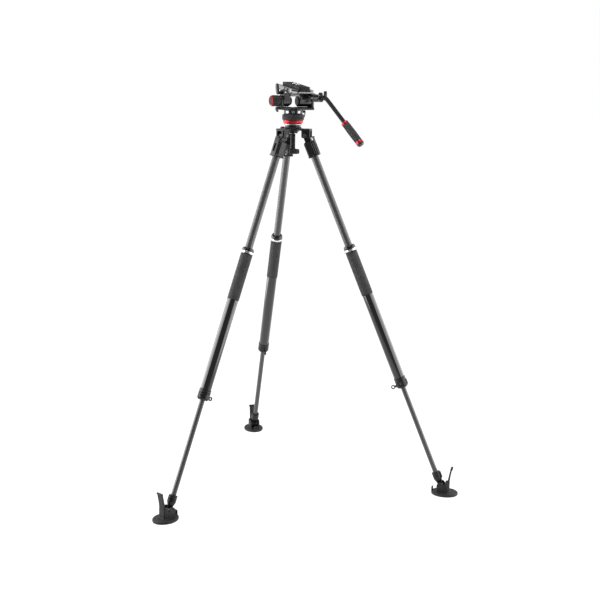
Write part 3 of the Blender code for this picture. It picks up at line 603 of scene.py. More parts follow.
def leg_grip_mesh():
    """The twist grip: plain rims, and a moulded field between two grooves."""
    top, foot, outer, bore = -GRIP_TOP - GAP, -GRIP_END + 0.0003, GRIP_R, 0.0213
    loop = [(bore, top), (outer - 0.0006, top), (outer, top - 0.0012), (outer, top - 0.005),
            (outer - 0.0008, top - 0.0056), (outer - 0.0008, top - 0.0066), (outer, top - 0.0072)]
    loop += [(outer, top - 0.0072 + (foot + 0.015 - top) * k / 30) for k in range(1, 30)]
    loop += [(outer, foot + 0.0078), (outer - 0.0008, foot + 0.0072), (outer - 0.0008, foot + 0.006),
             (outer, foot + 0.0054), (outer, foot + 0.0012), (outer - 0.0006, foot), (bore, foot)]
    return lathe(loop, 96, ring=True)


def lower_collar_mesh():
    """The clamp at the foot of the middle stage: slit lug, seats of its screws and the spreader's eyelet."""
    loop = [(0.0108, -1.0783), (0.024, -1.0783), (0.0246, -1.08), (0.0246, -1.085), (0.0238, -1.0856),
            (0.0238, -1.0872), (0.0246, -1.0878), (0.0246, -1.117), (0.0228, -1.12), (0.019, -1.124),
            (0.0108, -1.124)]
    middle = -1.1115
    adds = [turned_ring(loop, 0.0006),
            block((-0.036, -0.0038, middle - 0.0044), (-0.02, 0.0038, middle + 0.0044), 0.0012, 2),
            rod("Y", 0.0088, -0.0031, 0.0031, at=(-0.04, 0, middle), bevel=0.0008),
            block((0.015, -0.0085, -1.1165), (0.0262, 0.0085, -1.0935), 0.0026, 3)]
    cuts = [rod("Y", 0.005, -0.02, 0.02, at=(-0.04, 0, middle)),
            block((0.02, -0.0008, -1.13), (0.03, 0.0008, -1.09))]
    for side in (-1, 1):
        low, high = sorted((side * 0.0229, side * 0.03))
        cuts.append(block((-0.009, low, -1.113), (0.009, high, -1.093), 0.0012, 2))
    return cast(carved(adds, cuts), 0.0007, 1, 0.4)


def lower_collar_screws():
    """The fasteners of the lower clamp: two through its lug and one on either side."""
    made = [moved(screw_head(0.003, 0.0009), facing((0, side, 0), (0.0212, side * 0.0084, z)))
            for side in (-1, 1) for z in (-1.0985, -1.1115)]
    made += [moved(screw_head(0.0042, 0.0012), facing((0, side, 0), (0.0, side * 0.0229, -1.103)))
             for side in (-1, 1)]
    return joined(*made)


def foot_block_mesh():
    """The forging at the foot of the lower tube: a clamp, a waist, the ankle's barrel and a spike."""
    seat, top = -1.5363, -BLOCK_TOP
    profile = soften([(0.0, seat), (0.0108, seat), (0.0108, top), (0.0172, top), (0.0178, top - 0.0014),
                      (0.0178, top - 0.008), (0.017, top - 0.0088), (0.017, top - 0.0104),
                      (0.0178, top - 0.0112), (0.0178, seat - 0.006), (0.011, -ANKLE + 0.016),
                      (0.0085, -ANKLE), (0.003, -ANKLE - 0.0165), (0.0, -ANKLE - 0.0193)], 0.0008, 2)
    adds = [lathe(profile, 64), rod("Y", 0.0111, -0.0149, 0.0149, at=(0, 0, -ANKLE), bevel=0.001),
            block((0.01, -0.006, top - 0.03), (0.0206, 0.006, top - 0.003), 0.002, 3)]
    cuts = [block((0.012, -0.0008, top - 0.032), (0.03, 0.0008, top + 0.01))]
    return cast(carved(adds, cuts), 0.0008, 2, 0.45)


def foot_block_screws():
    """The four screws of the foot's clamp."""
    made = [moved(screw_head(0.0026, 0.0008), facing((0, side, 0), (0.0165, side * 0.006, -BLOCK_TOP - z)))
            for side in (-1, 1) for z in (0.009, 0.023)]
    return joined(*made)


def shoe_meshes():
    """The rubber shoe in the ankle's frame: its sole with tread, walls, strap with a tab, and eyelet."""
    floor, centre, a, b = -0.036, 0.0165, 0.0565, 0.046
    profile = [(0.0, 0.0128), (0.05, 0.013), (0.0545, 0.0122), (0.0563, 0.0098), (0.0565, 0.006),
               (0.0557, 0.0022), (0.0535, 0.0), (0.0, 0.0)]
    profile = [(r, z + floor) for r, z in soften(profile, 0.0012, 3)]
    sole = lathe(profile, 96, scale=(1.0, b / a), offset=(centre, 0.0))
    inside = floor + 0.01
    adds = [sole]
    for side in (-1, 1):
        low, high = sorted((side * 0.0155, side * 0.0235))
        adds.append(block((-0.0155, low, inside), (0.019, high, 0.006), 0.0025, 3))
        adds.append(rod("Y", 0.0158, low, high, at=(0.0, 0.0, 0.003), bevel=0.0015))
    adds.append(block((0.0176, -0.023, inside), (0.033, 0.023, 0.018), 0.0045, 4))
    strap = [(0.0278, inside), (0.0364, inside), (0.0364, 0.02), (0.0392, 0.044), (0.046, 0.0795),
             (0.0394, 0.0805), (0.0326, 0.045), (0.0278, 0.02)]
    adds.append(prism(soften(strap, 0.003, 3, closed=True), 0.0292, across="Y"))
    adds.append(block((0.0388, -0.0172, 0.075), (0.0482, 0.0172, 0.0838), 0.003, 4))
    adds.append(block((-0.0394, -0.0082, inside), (-0.0326, 0.0082, floor + 0.0302), 0.0026, 4))
    cuts = [rod("X", 0.0034, -0.05, -0.02, at=(0, 0, floor + 0.0215)),
            rod("Y", 0.007, -0.06, -0.0152, at=(0, 0, 0.0)), rod("Y", 0.007, 0.0152, 0.06, at=(0, 0, 0.0)),
            block((0.0345, -0.0075, 0.01), (0.045, 0.0075, 0.012))]
    for z in (0.026, 0.033, 0.04, 0.047, 0.054):
        cuts.append(block((0.0372 + 0.19 * (z - 0.026), -0.011, z), (0.046, 0.011, z + 0.0024)))
    count = 26
    for i in range(count):
        angle = 2 * math.pi * (i + 0.5) / count
        x, y = centre + (a + 0.0002) * math.cos(angle), (b + 0.0002) * math.sin(angle)
        notch = block((-0.0012, -0.0013, floor - 0.002), (0.0012, 0.0013, floor + 0.0042), 0.0003, 1)
        cuts.append(moved(notch, Matrix.Translation((x, y, 0)) @ Matrix.Rotation(angle, 4, "Z")))
    for x in (-0.024, -0.006, 0.012, 0.03, 0.048):
        cuts.append(block((x - 0.0016, -0.06, floor - 0.002), (x + 0.0016, 0.06, floor + 0.0014)))
    rubber = cast(carved(adds, cuts), 0.0009, 1, 0.45)
    ridges = [rod("Y", 0.0008, -0.013, 0.013, at=(0.0481, 0, z), segments=12)
              for z in (0.0776, 0.08)]
    rim = [moved(lathe(soften([(0.0, -0.0008), (0.0064, -0.0008), (0.0068, 0.0), (0.0062, 0.0007),
                               (0.0, 0.001)], 0.0004), 40), facing((0, side, 0), (0, side * 0.0226, 0)))
           for side in (-1, 1)]
    return rubber, joined(*ridges), joined(*rim)


def build_legs():
    """Each mesh is made once; every leg's pieces use it in that leg's own frame."""
    rubber, ridges, rivets = shoe_meshes()
    shapes = {
        "bracket": (bracket_mesh(), BLACK, "", "satin_black_alloy", 35),
        "latch": (latch_mesh(), PLASTIC, "_latch", "satin_black_alloy", 35),
        "upper_tube": (sleeve(UPPER_R, UPPER_R - 0.002, -UPPER_TOP, -UPPER_END, 0.0005, 8), UPPER_WEAVE, "",
                       "carbon_fibre", 35),
        "collar": (collar_mesh(), DEEP_BLACK, "_middle", "satin_black_alloy", 40),
        "middle_tube": (turned_ring([(0.0205, -GRIP_TOP), (0.0205, -GRIP_END - GAP),
                                     (MIDDLE_R, -GRIP_END - GAP), (MIDDLE_R, -MIDDLE_END),
                                     (0.0185, -MIDDLE_END), (0.0185, -GRIP_TOP)], 0.0005, 96, 3),
                        GLOSS, "_middle", "gloss_black_tube", 35),
        "grip": (leg_grip_mesh(), LEG_GRIP, "_grip", "black_rubber", 50),
        "lower_collar": (lower_collar_mesh(), BLACK, "_middle", "satin_black_alloy", 35),
        "lower_tube": (sleeve(LOWER_R, LOWER_R - 0.002, -LOWER_TOP, -LOWER_END, 0.0004, 8), LOWER_WEAVE,
                       "_lower", "carbon_fibre", 35),
        "foot_block": (foot_block_mesh(), BLACK, "_lower", "satin_black_alloy", 35),
    }
    extras = {
        "bright_ring": (bright_ring_mesh(), SILVER, "_middle", "bright_alloy", 35),
        "clamp_screws": (lower_collar_screws(), DARK_STEEL, "_middle", "steel", 30),
        "foot_screws": (foot_block_screws(), DARK_STEEL, "_lower", "steel", 30),
        "bracket_screws": (joined(*[moved(screw_head(0.003, 0.0012), facing((-1, 0, 0), (-0.0198, 0.0105, z)))
                                    for z in (-0.069, -0.081)]), STEEL, "", "steel", 30),
    }
    pin = pin_mesh()
    for leg in LEGS:
        at = leg_frame(leg)
        for name, (mesh, look, body, slot, sharp) in shapes.items():
            piece(f"leg_{leg}_{name}_skin", mesh, look, at, f"leg_{leg}{body}", slot, f"leg_{leg}_{name}",
                  sharp=sharp)
        for name, (mesh, look, body, slot, sharp) in extras.items():
            piece(f"leg_{leg}_{name}", mesh, look, at, f"leg_{leg}{body}", slot, sharp=sharp)
        piece(f"leg_{leg}_hinge_screw", pin, DARK_STEEL, at, "crown", "steel", f"leg_{leg}_hinge_pin")
        ankle = shoe_frame(leg)
        piece(f"leg_{leg}_shoe_skin", rubber, RUBBER, ankle, f"leg_{leg}_shoe", "black_rubber",
              f"leg_{leg}_shoe")
        piece(f"leg_{leg}_tab_ridges", ridges, RUBBER, ankle, f"leg_{leg}_shoe", "black_rubber")
        piece(f"leg_{leg}_ankle_rivets", rivets, PLASTIC, ankle, f"leg_{leg}_shoe", "satin_black_alloy")


# ---------------------------------------------------------------- crown, ball and base
def sphere_point(radius, polar):
    """A point of a sphere round the ball's centre, at an angle in degrees from straight down."""
    angle = math.radians(polar)
    return (radius * math.sin(angle), BALL_Z - radius * math.cos(angle))


def ribs(count, depth, inner=0.0, sharpness=3.0):
    """The wave of a knurled rim: flat ribs with rounded grooves between them."""
    def wave(angle, r, z):
        if r < inner:
            return 0.0
        return -depth * max(0.0, min(1.0, 0.5 + sharpness * 0.5 * (math.cos(angle * count) - 0.35)))
    return wave


def crown_mesh():
    """The bowl with its three forked arms and the boss of the level."""
    seat, skin, web = BALL_R + 0.0009, 0.0355, ARM_Z - 0.0095
    profile = [(0.0345, RIM_Z), (0.0345, ARM_Z + 0.0018), (0.044, ARM_Z - 0.0012), (0.044, web + 0.0003),
               (0.0315, web + 0.0003)]
    profile += [sphere_point(skin, polar) for polar in (50, 43, 37, 31, 25)]
    profile += [sphere_point(seat, polar) for polar in (27, 34, 41, 48, 55, 62, 68)]
    profile += [(math.sqrt(seat ** 2 - (BALL_Z - RIM_Z) ** 2), RIM_Z)]
    adds, cuts = [lathe(profile, 96, ring=True)], []
    slot, half = TONGUE + GAP, HALF_WIDTH
    hinge = leg_frame("front").translation
    reach = math.hypot(hinge.x - PAN.translation.x, hinge.y - PAN.translation.y)
    for leg in LEGS:
        arm = PAN.inverted() @ crown_arm(leg)
        fork = [block((0.03, -half, web), (ARM_REACH - 0.0005, half, ARM_Z - 0.001), 0.0034, 4),
                block((0.04, -half + 0.0002, CHEEK_Z), (ARM_REACH, half - 0.0002, ARM_Z - 0.0014), 0.0066, 5)]
        for side in (-1, 1):
            low, high = sorted((side * 0.02, side * (half + 0.0005)))
            fork.append(rod("Y", 0.0088, low, high, at=(reach, 0, hinge.z)))
        hollows = [block((0.03, -slot, CHEEK_Z - 0.01), (ARM_REACH + 0.01, slot, web - 0.0005)),
                   rod("Y", 0.0043, -0.04, 0.04, at=(reach, 0, hinge.z)),
                   block((0.05, -0.0085, ARM_Z - 0.0026), (ARM_REACH - 0.009, 0.0085, ARM_Z + 0.01),
                         0.0006, 2)]
        adds += [moved(mesh, arm) for mesh in fork]
        cuts += [moved(mesh, arm) for mesh in hollows]
    adds.append(rod("Z", 0.01, web + 0.0006, LEVEL_AT.z, at=(LEVEL_AT.x, LEVEL_AT.y, 0), bevel=0.0008))
    return cast(carved(adds, cuts), 0.001, 2, 0.5)


def build_crown():
    """The crown's casting and its spirit level."""
    piece("crown_casting", crown_mesh(), EDGE_HIGHLIGHT_BLACK, PAN, "crown", "satin_black_alloy", "crown")
    level = PAN @ Matrix.Translation(LEVEL_AT)
    ring = [(0.006, 0.0006), (0.0084, GAP), (0.0087, 0.001), (0.0087, 0.003), (0.0078, 0.0037),
            (0.0062, 0.0037), (0.006, 0.0031)]
    piece("level_ring", turned_ring(ring, 0.0003, 72), RED, level, "crown", "red_anodised", "spirit_level")
    dome = soften([(0.0, 0.0004), (0.0059, 0.0004), (0.0059, 0.003), (0.003, 0.0034), (0.0, 0.0035)], 0.0006)
    piece("level_vial", lathe(dome, 56), VIAL, level, "crown", "red_anodised")
    target = [(0.0026, 0.0035), (0.003, 0.0035), (0.003, 0.00362), (0.0026, 0.00362)]
    piece("level_target", lathe(target, 56, ring=True), DEEP_BLACK, level, "crown", "satin_black_alloy")
    piece("level_bubble", lathe(soften([(0.0, 0.0031), (0.0018, 0.0033), (0.0, 0.0038)], 0.0008), 32), SILVER,
          level, "crown", "bright_alloy")


def build_ball():
    """The half ball with its stud, the slotted cup under the bowl, and the clamping knob."""
    top, flange = RING_Z - GAP, BALL_Z + 0.001
    ball = [(0.0, top), (0.036, top), (0.036, flange), (BALL_R, flange)]
    ball += [sphere_point(BALL_R, 90 - 4.25 * k) for k in range(17)]
    ball += [(0.005, BALL_Z - 0.0314), (0.005, BALL_Z - 0.1095), (0.0, BALL_Z - 0.1095)]
    piece("ball_turning", lathe(soften(ball, 0.0006, 3), 96), DEEP_BLACK, PAN, "ball", "satin_black_alloy",
          "half_ball", sharp=30)
    rim = [(0.034, top), (0.0364, top), (0.0366, top - 0.0008), (0.0366, flange + 0.0014),
           (0.0358, flange - 0.0002), (0.034, flange - 0.0002)]
    piece("ball_rim", turned_ring(rim, 0.0003), SATIN_SILVER, PAN, "ball", "bright_alloy", sharp=30)
    threads = [(0.00535 if k % 2 else 0.0049, BALL_Z - 0.05 - 0.0006 * k) for k in range(90)]
    loop = [(0.0045, BALL_Z - 0.05), *threads, (0.0045, BALL_Z - 0.05 - 0.0006 * 90)]
    piece("stud_thread", lathe(loop, 32, ring=True), STEEL, PAN, "ball", "steel", sharp=20)
    outer, inner, edge = 0.039, 0.0358, 33.0
    cup = [sphere_point(outer, edge - 2.5 * k) for k in range(11)]
    cup += [sphere_point(inner, 9.0 + 2.4 * k) for k in range(11)]
    shell = carved([lathe(cup, 80, ring=True)],
                   [block((-0.0114, -0.00545, BALL_Z - 0.049), (0.0114, 0.00545, BALL_Z - 0.019))])
    piece("cup_shell", edged(shell, 0.0004, 2, 40), SILVER, PAN, "level_cup", "bright_alloy", "clamp_cup",
          sharp=30)
    knob = [(0.0, -0.11), (0.0056, -0.11), (0.0056, -0.0397), (0.0098, -0.0397), (0.0105, -0.041)]
    for k in range(9):
        z = -0.045 - 0.0052 * k
        knob += [(0.0105, z), (0.0099, z - 0.0008), (0.0099, z - 0.0022), (0.0105, z - 0.003)]
    knob += [(0.0105, -0.0968), (0.02, -0.0978), (0.0265, -0.0995), (0.028, -0.102), (0.028, -0.115),
             (0.026, -0.1175), (0.0, -0.118)]
    piece("knob_moulding", lathe(soften(knob, 0.0009, 2), 192, wave=ribs(12, 0.0014, 0.0262, 1.6)), RUBBER,
          PAN @ Matrix.Translation((0, 0, BALL_Z)), "clamp_knob", "black_rubber", "clamp_knob", sharp=45)
    top = DRAG_Z - GAP
    base = [(0.0, top), (0.0398, top), (0.0408, top - 0.001), (0.0415, top - 0.0042), (0.0413, top - 0.0056),
            (0.0404, top - 0.0062), (0.0404, top - 0.007), (0.0408, top - 0.0078), (0.04, top - 0.0097),
            (0.0375, RING_Z + 0.0018), (0.0355, RING_Z), (0.0, RING_Z)]
    piece("base_turning", lathe(soften(base, 0.0005, 2), 120), RED, PAN, "ball", "red_anodised", "base_ring",
          sharp=40)


# ---------------------------------------------------------------- fluid head: pan stage
def drag_ring_mesh():
    """The ribbed ring that sets the pan drag."""
    low, high = DRAG_Z, NECK_Z - GAP
    field = [(0.045, low + 0.0034 + (high - low - 0.0068) * k / 6) for k in range(7)]
    loop = [(0.0308, low), (0.043, low), (0.044, low + 0.0008), (0.044, low + 0.0024), *field,
            (0.044, high - 0.0024), (0.044, high - 0.0008), (0.043, high), (0.0308, high)]
    return lathe(loop, 360, ring=True, wave=ribs(60, 0.0011, 0.0445, 2.2))


def yoke_mesh():
    """The neck with its windows, the spigot in the drag ring, and the wide fork of the tilting part."""
    profile = soften([(0.0, YOKE_Z + 0.004), (0.0389, YOKE_Z + 0.004), (0.0389, NECK_Z + 0.004),
                      (0.0375, NECK_Z), (0.03, NECK_Z), (0.03, DRAG_Z + GAP), (0.0, DRAG_Z + GAP)], 0.001, 3)
    adds = [lathe(profile, 96),
            block((YOKE_L, -0.029, YOKE_Z), (YOKE_R, 0.029, FLOOR_Z), 0.0045, 4)]
    for start in (YOKE_L, YOKE_R - WALL):
        end = start + WALL
        adds += [block((start + 0.0001, -0.0217, YOKE_Z + 0.003), (end - 0.0001, 0.0217, TILT_Z), 0.002, 3),
                 rod("X", 0.0219, start + 0.0001, end - 0.0001, at=(0, 0, TILT_Z), segments=72,
                     bevel=0.0022)]
    cuts = [rod("X", 0.0083, -0.1, 0.12, at=(0, 0, TILT_Z)),
            rod("X", 0.015, YOKE_R - 0.0014, YOKE_R + 0.01, at=(0, 0, TILT_Z))]
    for low, high in ((-0.0538, -0.016), (0.014, 0.073)):
        adds.append(block((low, -0.02, FLOOR_Z - 0.003), (high, 0.02, FLOOR_Z + 0.0011), 0.0004, 1))
    for k in range(9):
        window = block((0.0374, -0.0078, NECK_Z + 0.0036), (0.045, 0.0078, YOKE_Z - 0.0022), 0.0014, 2)
        cuts.append(moved(window, Matrix.Rotation(VIEW_AZIMUTH + math.radians(40 * k), 4, "Z")))
    return cast(carved(adds, cuts), 0.001, 2, 0.5)


def lever_mesh(start, inner, outer, length):
    """A hub on +X with a curved blade that hangs from it."""
    thick = outer - inner
    blade = [(inner + 0.1 * thick, 0.003), (outer - 0.4 * thick, 0.0046), (outer, 0.002),
             (outer + 0.0002, -0.3 * length), (outer - 0.25 * thick, -0.62 * length),
             (inner + 0.35 * thick, -length), (inner - 0.35 * thick, -0.985 * length),
             (inner - 0.15 * thick, -0.62 * length), (inner + 0.1 * thick, -0.3 * length)]
    hub = rod("X", 0.0052, start, outer - 0.0006, bevel=0.001)
    button = rod("X", 0.003, outer - 0.0012, outer + 0.0004, bevel=0.0005)
    return joined(hub, prism(soften(blade, 0.005, 4, closed=True), 0.0082, 0.0014, 3, "Y"), button)


def build_pan_stage():
    """What turns with the pan: the drag ring, the yoke, the two locks and the tilt drag's knob."""
    piece("drag_ring_moulding", drag_ring_mesh(), RUBBER, PAN, "pan_drag", "black_rubber", "pan_drag_ring",
          sharp=55)
    piece("yoke_casting", yoke_mesh(), BLACK, PAN, "pan", "satin_black_alloy", "pan_housing")
    band = [(0.0362, NECK_Z + 0.0015), (0.0381, NECK_Z + 0.0015), (0.0381, YOKE_Z - 0.0008),
            (0.0362, YOKE_Z - 0.0008)]
    piece("neck_band", turned_ring(band, 0.0004), SATIN_SILVER, PAN, "pan", "bright_alloy")
    pan_lock = PAN @ Matrix.Translation((0, 0, NECK_Z + 0.011)) @ Matrix.Rotation(math.radians(-27), 4, "Z")
    piece("pan_lock_handle", lever_mesh(0.0393, 0.0463, 0.0506, 0.023), PLASTIC, pan_lock, "pan_lock",
          "satin_black_alloy", "pan_lock_lever")
    tilt_lock = PAN @ Matrix.Translation((0, -0.006, YOKE_Z + 0.0065)) @ Matrix.Rotation(math.pi, 4, "Z")
    piece("tilt_lock_handle", lever_mesh(-YOKE_L + GAP, 0.0735, 0.0826, 0.015), PLASTIC, tilt_lock,
          "tilt_lock", "satin_black_alloy", "tilt_lock_lever")
    knob = PAN @ Matrix.Translation((0, 0, TILT_Z)) @ Matrix.Rotation(math.radians(90), 4, "Y")
    inner, outer, cap = -YOKE_L + GAP, 0.0975, 0.103
    profile = [(0.0, -0.0548), (0.008, -0.0548), (0.008, -inner), (0.0205, -inner), (0.0216, -inner - 0.0008),
               (0.0216, -inner - 0.003), (0.0225, -inner - 0.0042), (0.0225, -inner - 0.013),
               (0.0225, -inner - 0.021), (0.0225, -outer + 0.003), (0.0217, -outer + 0.0012),
               (0.0208, -outer), (0.0, -outer)]
    piece("tilt_knob_moulding", lathe(profile, 336, wave=ribs(28, 0.0012, 0.0218, 2.2)), RUBBER, knob,
          "tilt_drag", "black_rubber", "tilt_drag_knob", sharp=55)
    rim = [(0.0, -outer - GAP), (0.02, -outer - GAP), (0.0207, -outer - 0.0016), (0.0207, -outer - 0.0028),
           (0.019, -cap + 0.0008), (0.0178, -cap), (0.0158, -cap), (0.0152, -cap + 0.0012),
           (0.0, -cap + 0.0012)]
    # The disc wears the red alloy painted darker, as painted shade.
    piece("tilt_knob_disc", lathe(soften(rim, 0.0004, 2), 96), SHADED_RED, knob, "tilt_drag", "red_anodised",
          "knob_cap", sharp=40)
    inlay = [(0.005, -cap + 0.0012), (0.0149, -cap + 0.0012), (0.0149, -cap + 0.0004), (0.014, -cap + 0.0001),
             (0.0056, -cap + 0.0001), (0.005, -cap + 0.0006)]
    piece("tilt_knob_inlay", turned_ring(inlay, 0.0003), MATT_BLACK, knob, "tilt_drag", "satin_black_alloy",
          sharp=40)


# ---------------------------------------------------------------- fluid head: tilting part
def drum(start, end):
    """A drum with its upright: round below the tilt axis and square above it."""
    return [rod("X", 0.0231, start, end, segments=80, bevel=0.0016),
            block((start + 0.0001, -0.0227, 0.0), (end - 0.0001, 0.0227, 0.044), 0.0034, 4)]


def build_drums():
    """The two drums of the tilting part, with their closing faces, screws and bridge."""
    left, right = YOKE_L + WALL + 0.0006, YOKE_R - WALL - 0.0006
    cuts = []
    for k in range(5):
        x = left + 0.0048 + 0.0052 * k
        cuts.append(carved([rod("X", 0.03, x, x + 0.0016)], [rod("X", 0.022, x - 0.001, x + 0.003)]))
        cuts.append(block((x, -0.03, 0.006), (x + 0.0016, -0.0218, 0.036)))
    cheeks = [rod("X", 0.0222, -0.0238, -0.0128, tip=0.015, segments=72, bevel=0.0008),
              rod("X", 0.018, 0.0152, 0.0188, tip=0.022, segments=72, bevel=0.0006)]
    piece("drum_cheeks", joined(*cheeks), MATT_BLACK, TILT, "tilt", "satin_black_alloy", sharp=40)
    drag = cast(carved(drum(left, -0.024), cuts), 0.0008, 1, 0.5)
    piece("drag_drum", drag, DEEP_BLACK, TILT, "tilt", "satin_black_alloy", "drag_housing")
    y, z = -0.062, 0.021
    adds = [*drum(0.019, right),
            block((0.053, y + 0.002, 0.024), (0.0722, -0.015, 0.039), 0.004, 4),
            rod("X", 0.0157, 0.0515, 0.0786, at=(0, y, z), segments=64, bevel=0.0012)]
    cuts = [rod("X", 0.0033, 0.06, 0.09, at=(0, y, z)),
            rod("X", 0.0098, 0.05, 0.053, at=(0, y, z))]
    for k in (-1, 1):
        cuts.append(block((0.025, k * 0.024 - 0.002, 0.01), (0.048, k * 0.024 + 0.002, 0.033), 0.0008, 2))
    balance = cast(carved(adds, cuts), 0.0009, 2, 0.5)
    piece("balance_drum", balance, DEEP_BLACK, TILT, "tilt", "satin_black_alloy", "balance_housing")
    heads = [moved(screw_head(0.0026, 0.001), facing((0, -1, 0), (x, -0.0226, 0.0385)))
             for x in (left + 0.005, -0.029, 0.024, 0.048)]
    heads.append(moved(screw_head(0.006, 0.0014), facing((-1, 0, 0), (0.0528, y, z))))
    piece("drum_screws", joined(*heads), STEEL, TILT, "tilt", "steel", sharp=30)
    bridge = carved([block((-0.0237, -0.0195, 0.0205), (0.0187, 0.0195, 0.044), 0.003, 4)],
                    [block((-0.018, -0.025, 0.028), (0.013, -0.0186, 0.037), 0.001, 2)])
    piece("bridge_casting", bridge, GREY, TILT, "tilt", "grey_anodised", "tilt_bridge")


def build_holder():
    """The plate holder with its channel, its front cap, the release button and the locking lever."""
    rear, front, side, low, high = -0.089, 0.076, 0.045, 0.0443, 0.0565
    channel, button_at = 0.0262, -0.03
    outline = [(-side, rear + 0.03), (-0.028, rear), (side, rear), (side, front), (-0.038, front),
               (-side, front - 0.009)]
    body = prism(soften(outline, 0.005, 5, closed=True), high - low, 0.0016, 3, "Z", (0, 0, (low + high) / 2))
    cuts = [block((-channel, rear - 0.01, low + 0.005), (channel, front + 0.01, high + 0.01)),
            rod("X", 0.0053, -0.06, -0.0395, at=(0, button_at, low + 0.0062)),
            block((-0.05, front - 0.009, low - 0.01), (-channel, front + 0.01, high + 0.01)),
            block((channel, front - 0.009, low - 0.01), (0.05, front + 0.01, high + 0.01))]
    for k in (-1, 1):
        x = k * channel
        cuts.append(block((x - 0.003, rear - 0.01, low + 0.0052), (x + 0.003, front, low + 0.0082)))
    piece("holder_body", edged(carved([body], cuts), 0.0005, 2, 40), GREY, TILT, "tilt", "grey_anodised",
          "plate_holder")
    for name, start, end in (("left", -0.0452, -0.0265), ("right", 0.0265, 0.0452)):
        cap = block((start, front - 0.0088, low - 0.007), (end, front + 0.0008, high + 0.0008), 0.0036, 4)
        piece(f"holder_cap_{name}", cap, PLASTIC, TILT, "tilt", "satin_black_alloy")
    corner = Matrix.Translation((-0.0368, rear + 0.015, high - 0.0042)) @ Matrix.Rotation(
        math.atan2(-0.03, 0.017), 4, "Z")
    bumper = moved(block((-0.013, -0.0012, -0.0034), (0.013, 0.0006, 0.0034), 0.0005, 2), corner)
    piece("holder_bumper", bumper, MATT_BLACK, TILT, "tilt", "satin_black_alloy")
    button = lathe(soften([(0.0, -0.049), (0.0046, -0.049), (0.005, -0.0484), (0.005, -0.0445),
                           (0.0, -0.0445)], 0.0005), 48)
    sideways = (TILT @ Matrix.Translation((0, button_at, low + 0.0062))
                @ Matrix.Rotation(math.radians(90), 4, "Y"))
    piece("release_button", button, PLASTIC, sideways, "plate_button", "satin_black_alloy",
          "plate_release_button")
    hub = rod("X", 0.0062, -0.0716, YOKE_L + WALL + 0.0003, bevel=0.001)
    blade = [(0.0012, -0.0086), (0.0104, 0.0026), (0.016, 0.019), (0.0176, 0.0322), (0.0138, 0.0361),
             (0.0078, 0.0338), (0.0034, 0.0218), (-0.0012, 0.0104), (-0.0082, -0.0018)]
    handle = prism(soften(blade, 0.003, 4, closed=True), 0.0096, 0.0016, 3, "X", (-0.0666, 0, 0))
    piece("plate_lever_handle", joined(hub, handle), PLASTIC, TILT @ Matrix.Translation((0, 0.012, 0.031)),
          "plate_lever", "satin_black_alloy", "plate_lock_lever")


def build_plate():
    """The sliding plate with its ribbed pads and its two screws."""
    middle, half, low, top = -0.0155, 0.076, 0.0496, 0.07
    rib_pitch, block_pitch = 0.0026, 0.004
    rear, front = middle - half, middle + half
    body = carved([block((-0.025, rear, low + 0.005), (0.025, front, top - 0.0006), 0.0014, 3),
                   block((-0.02, rear + 0.0005, low), (0.02, front - 0.0005, low + 0.007), 0.0006, 2)],
                  [block((-0.0052, -0.048, low - 0.01), (0.0052, 0.024, top + 0.01), 0.0051, 6),
                   block((-0.02, rear + 0.008, top - 0.002), (0.02, -0.056, top + 0.01), 0.0006, 2),
                   block((-0.02, 0.032, top - 0.002), (0.02, front - 0.008, top + 0.01), 0.0006, 2)])
    piece("plate_body", edged(body, 0.0004, 2, 40), MATT_BLACK, TILT, "plate", "satin_black_alloy",
          "camera_plate")
    pads = []
    for start, end in ((rear + 0.0084, -0.0564), (0.0324, front - 0.0084)):
        pads.append(block((-0.0196, start, top - 0.0021), (0.0196, end, top - 0.0006), 0.0004, 2))
        for k in range(int((end - start - 0.003) / rib_pitch)):
            y = start + 0.0024 + rib_pitch * k
            pads.append(block((-0.0186, y - 0.0008, top - 0.001), (0.0186, y + 0.0008, top), 0.0004, 2))
    for x in (-0.015, 0.015):
        for k in range(20):
            y = -0.051 + block_pitch * k
            pads.append(block((x - 0.0065, y - 0.0012, top - 0.001), (x + 0.0065, y + 0.0012, top),
                              0.0004, 2))
    piece("plate_pads", joined(*pads), PAD_RUBBER, TILT, "plate", "black_rubber")
    for number, y in ((1, 0.004), (2, -0.028)):
        knurl = [(0.0, low + 0.001), (0.0045, low + 0.001), (0.0045, top + 0.0006), (0.0031, top + 0.0006)]
        knurl += [(0.0031 if k % 2 else 0.0028, top + 0.0009 + 0.00035 * k) for k in range(12)]
        knurl += [(0.0026, top + 0.0055), (0.0, top + 0.0055)]
        place = TILT @ Matrix.Translation((0, y, 0))
        piece(f"camera_screw_{number}_turning", lathe(knurl, 48), STEEL, place, f"camera_screw_{number}",
              "steel", f"camera_screw_{number}", sharp=25)
        washer = [(0.0052, top - 0.0008), (0.0088, top - 0.0008), (0.0088, top + 0.001),
                  (0.0052, top + 0.0016)]
        piece(f"screw_washer_{number}", turned_ring(washer, 0.0003, 48), STEEL, place, "plate", "steel")


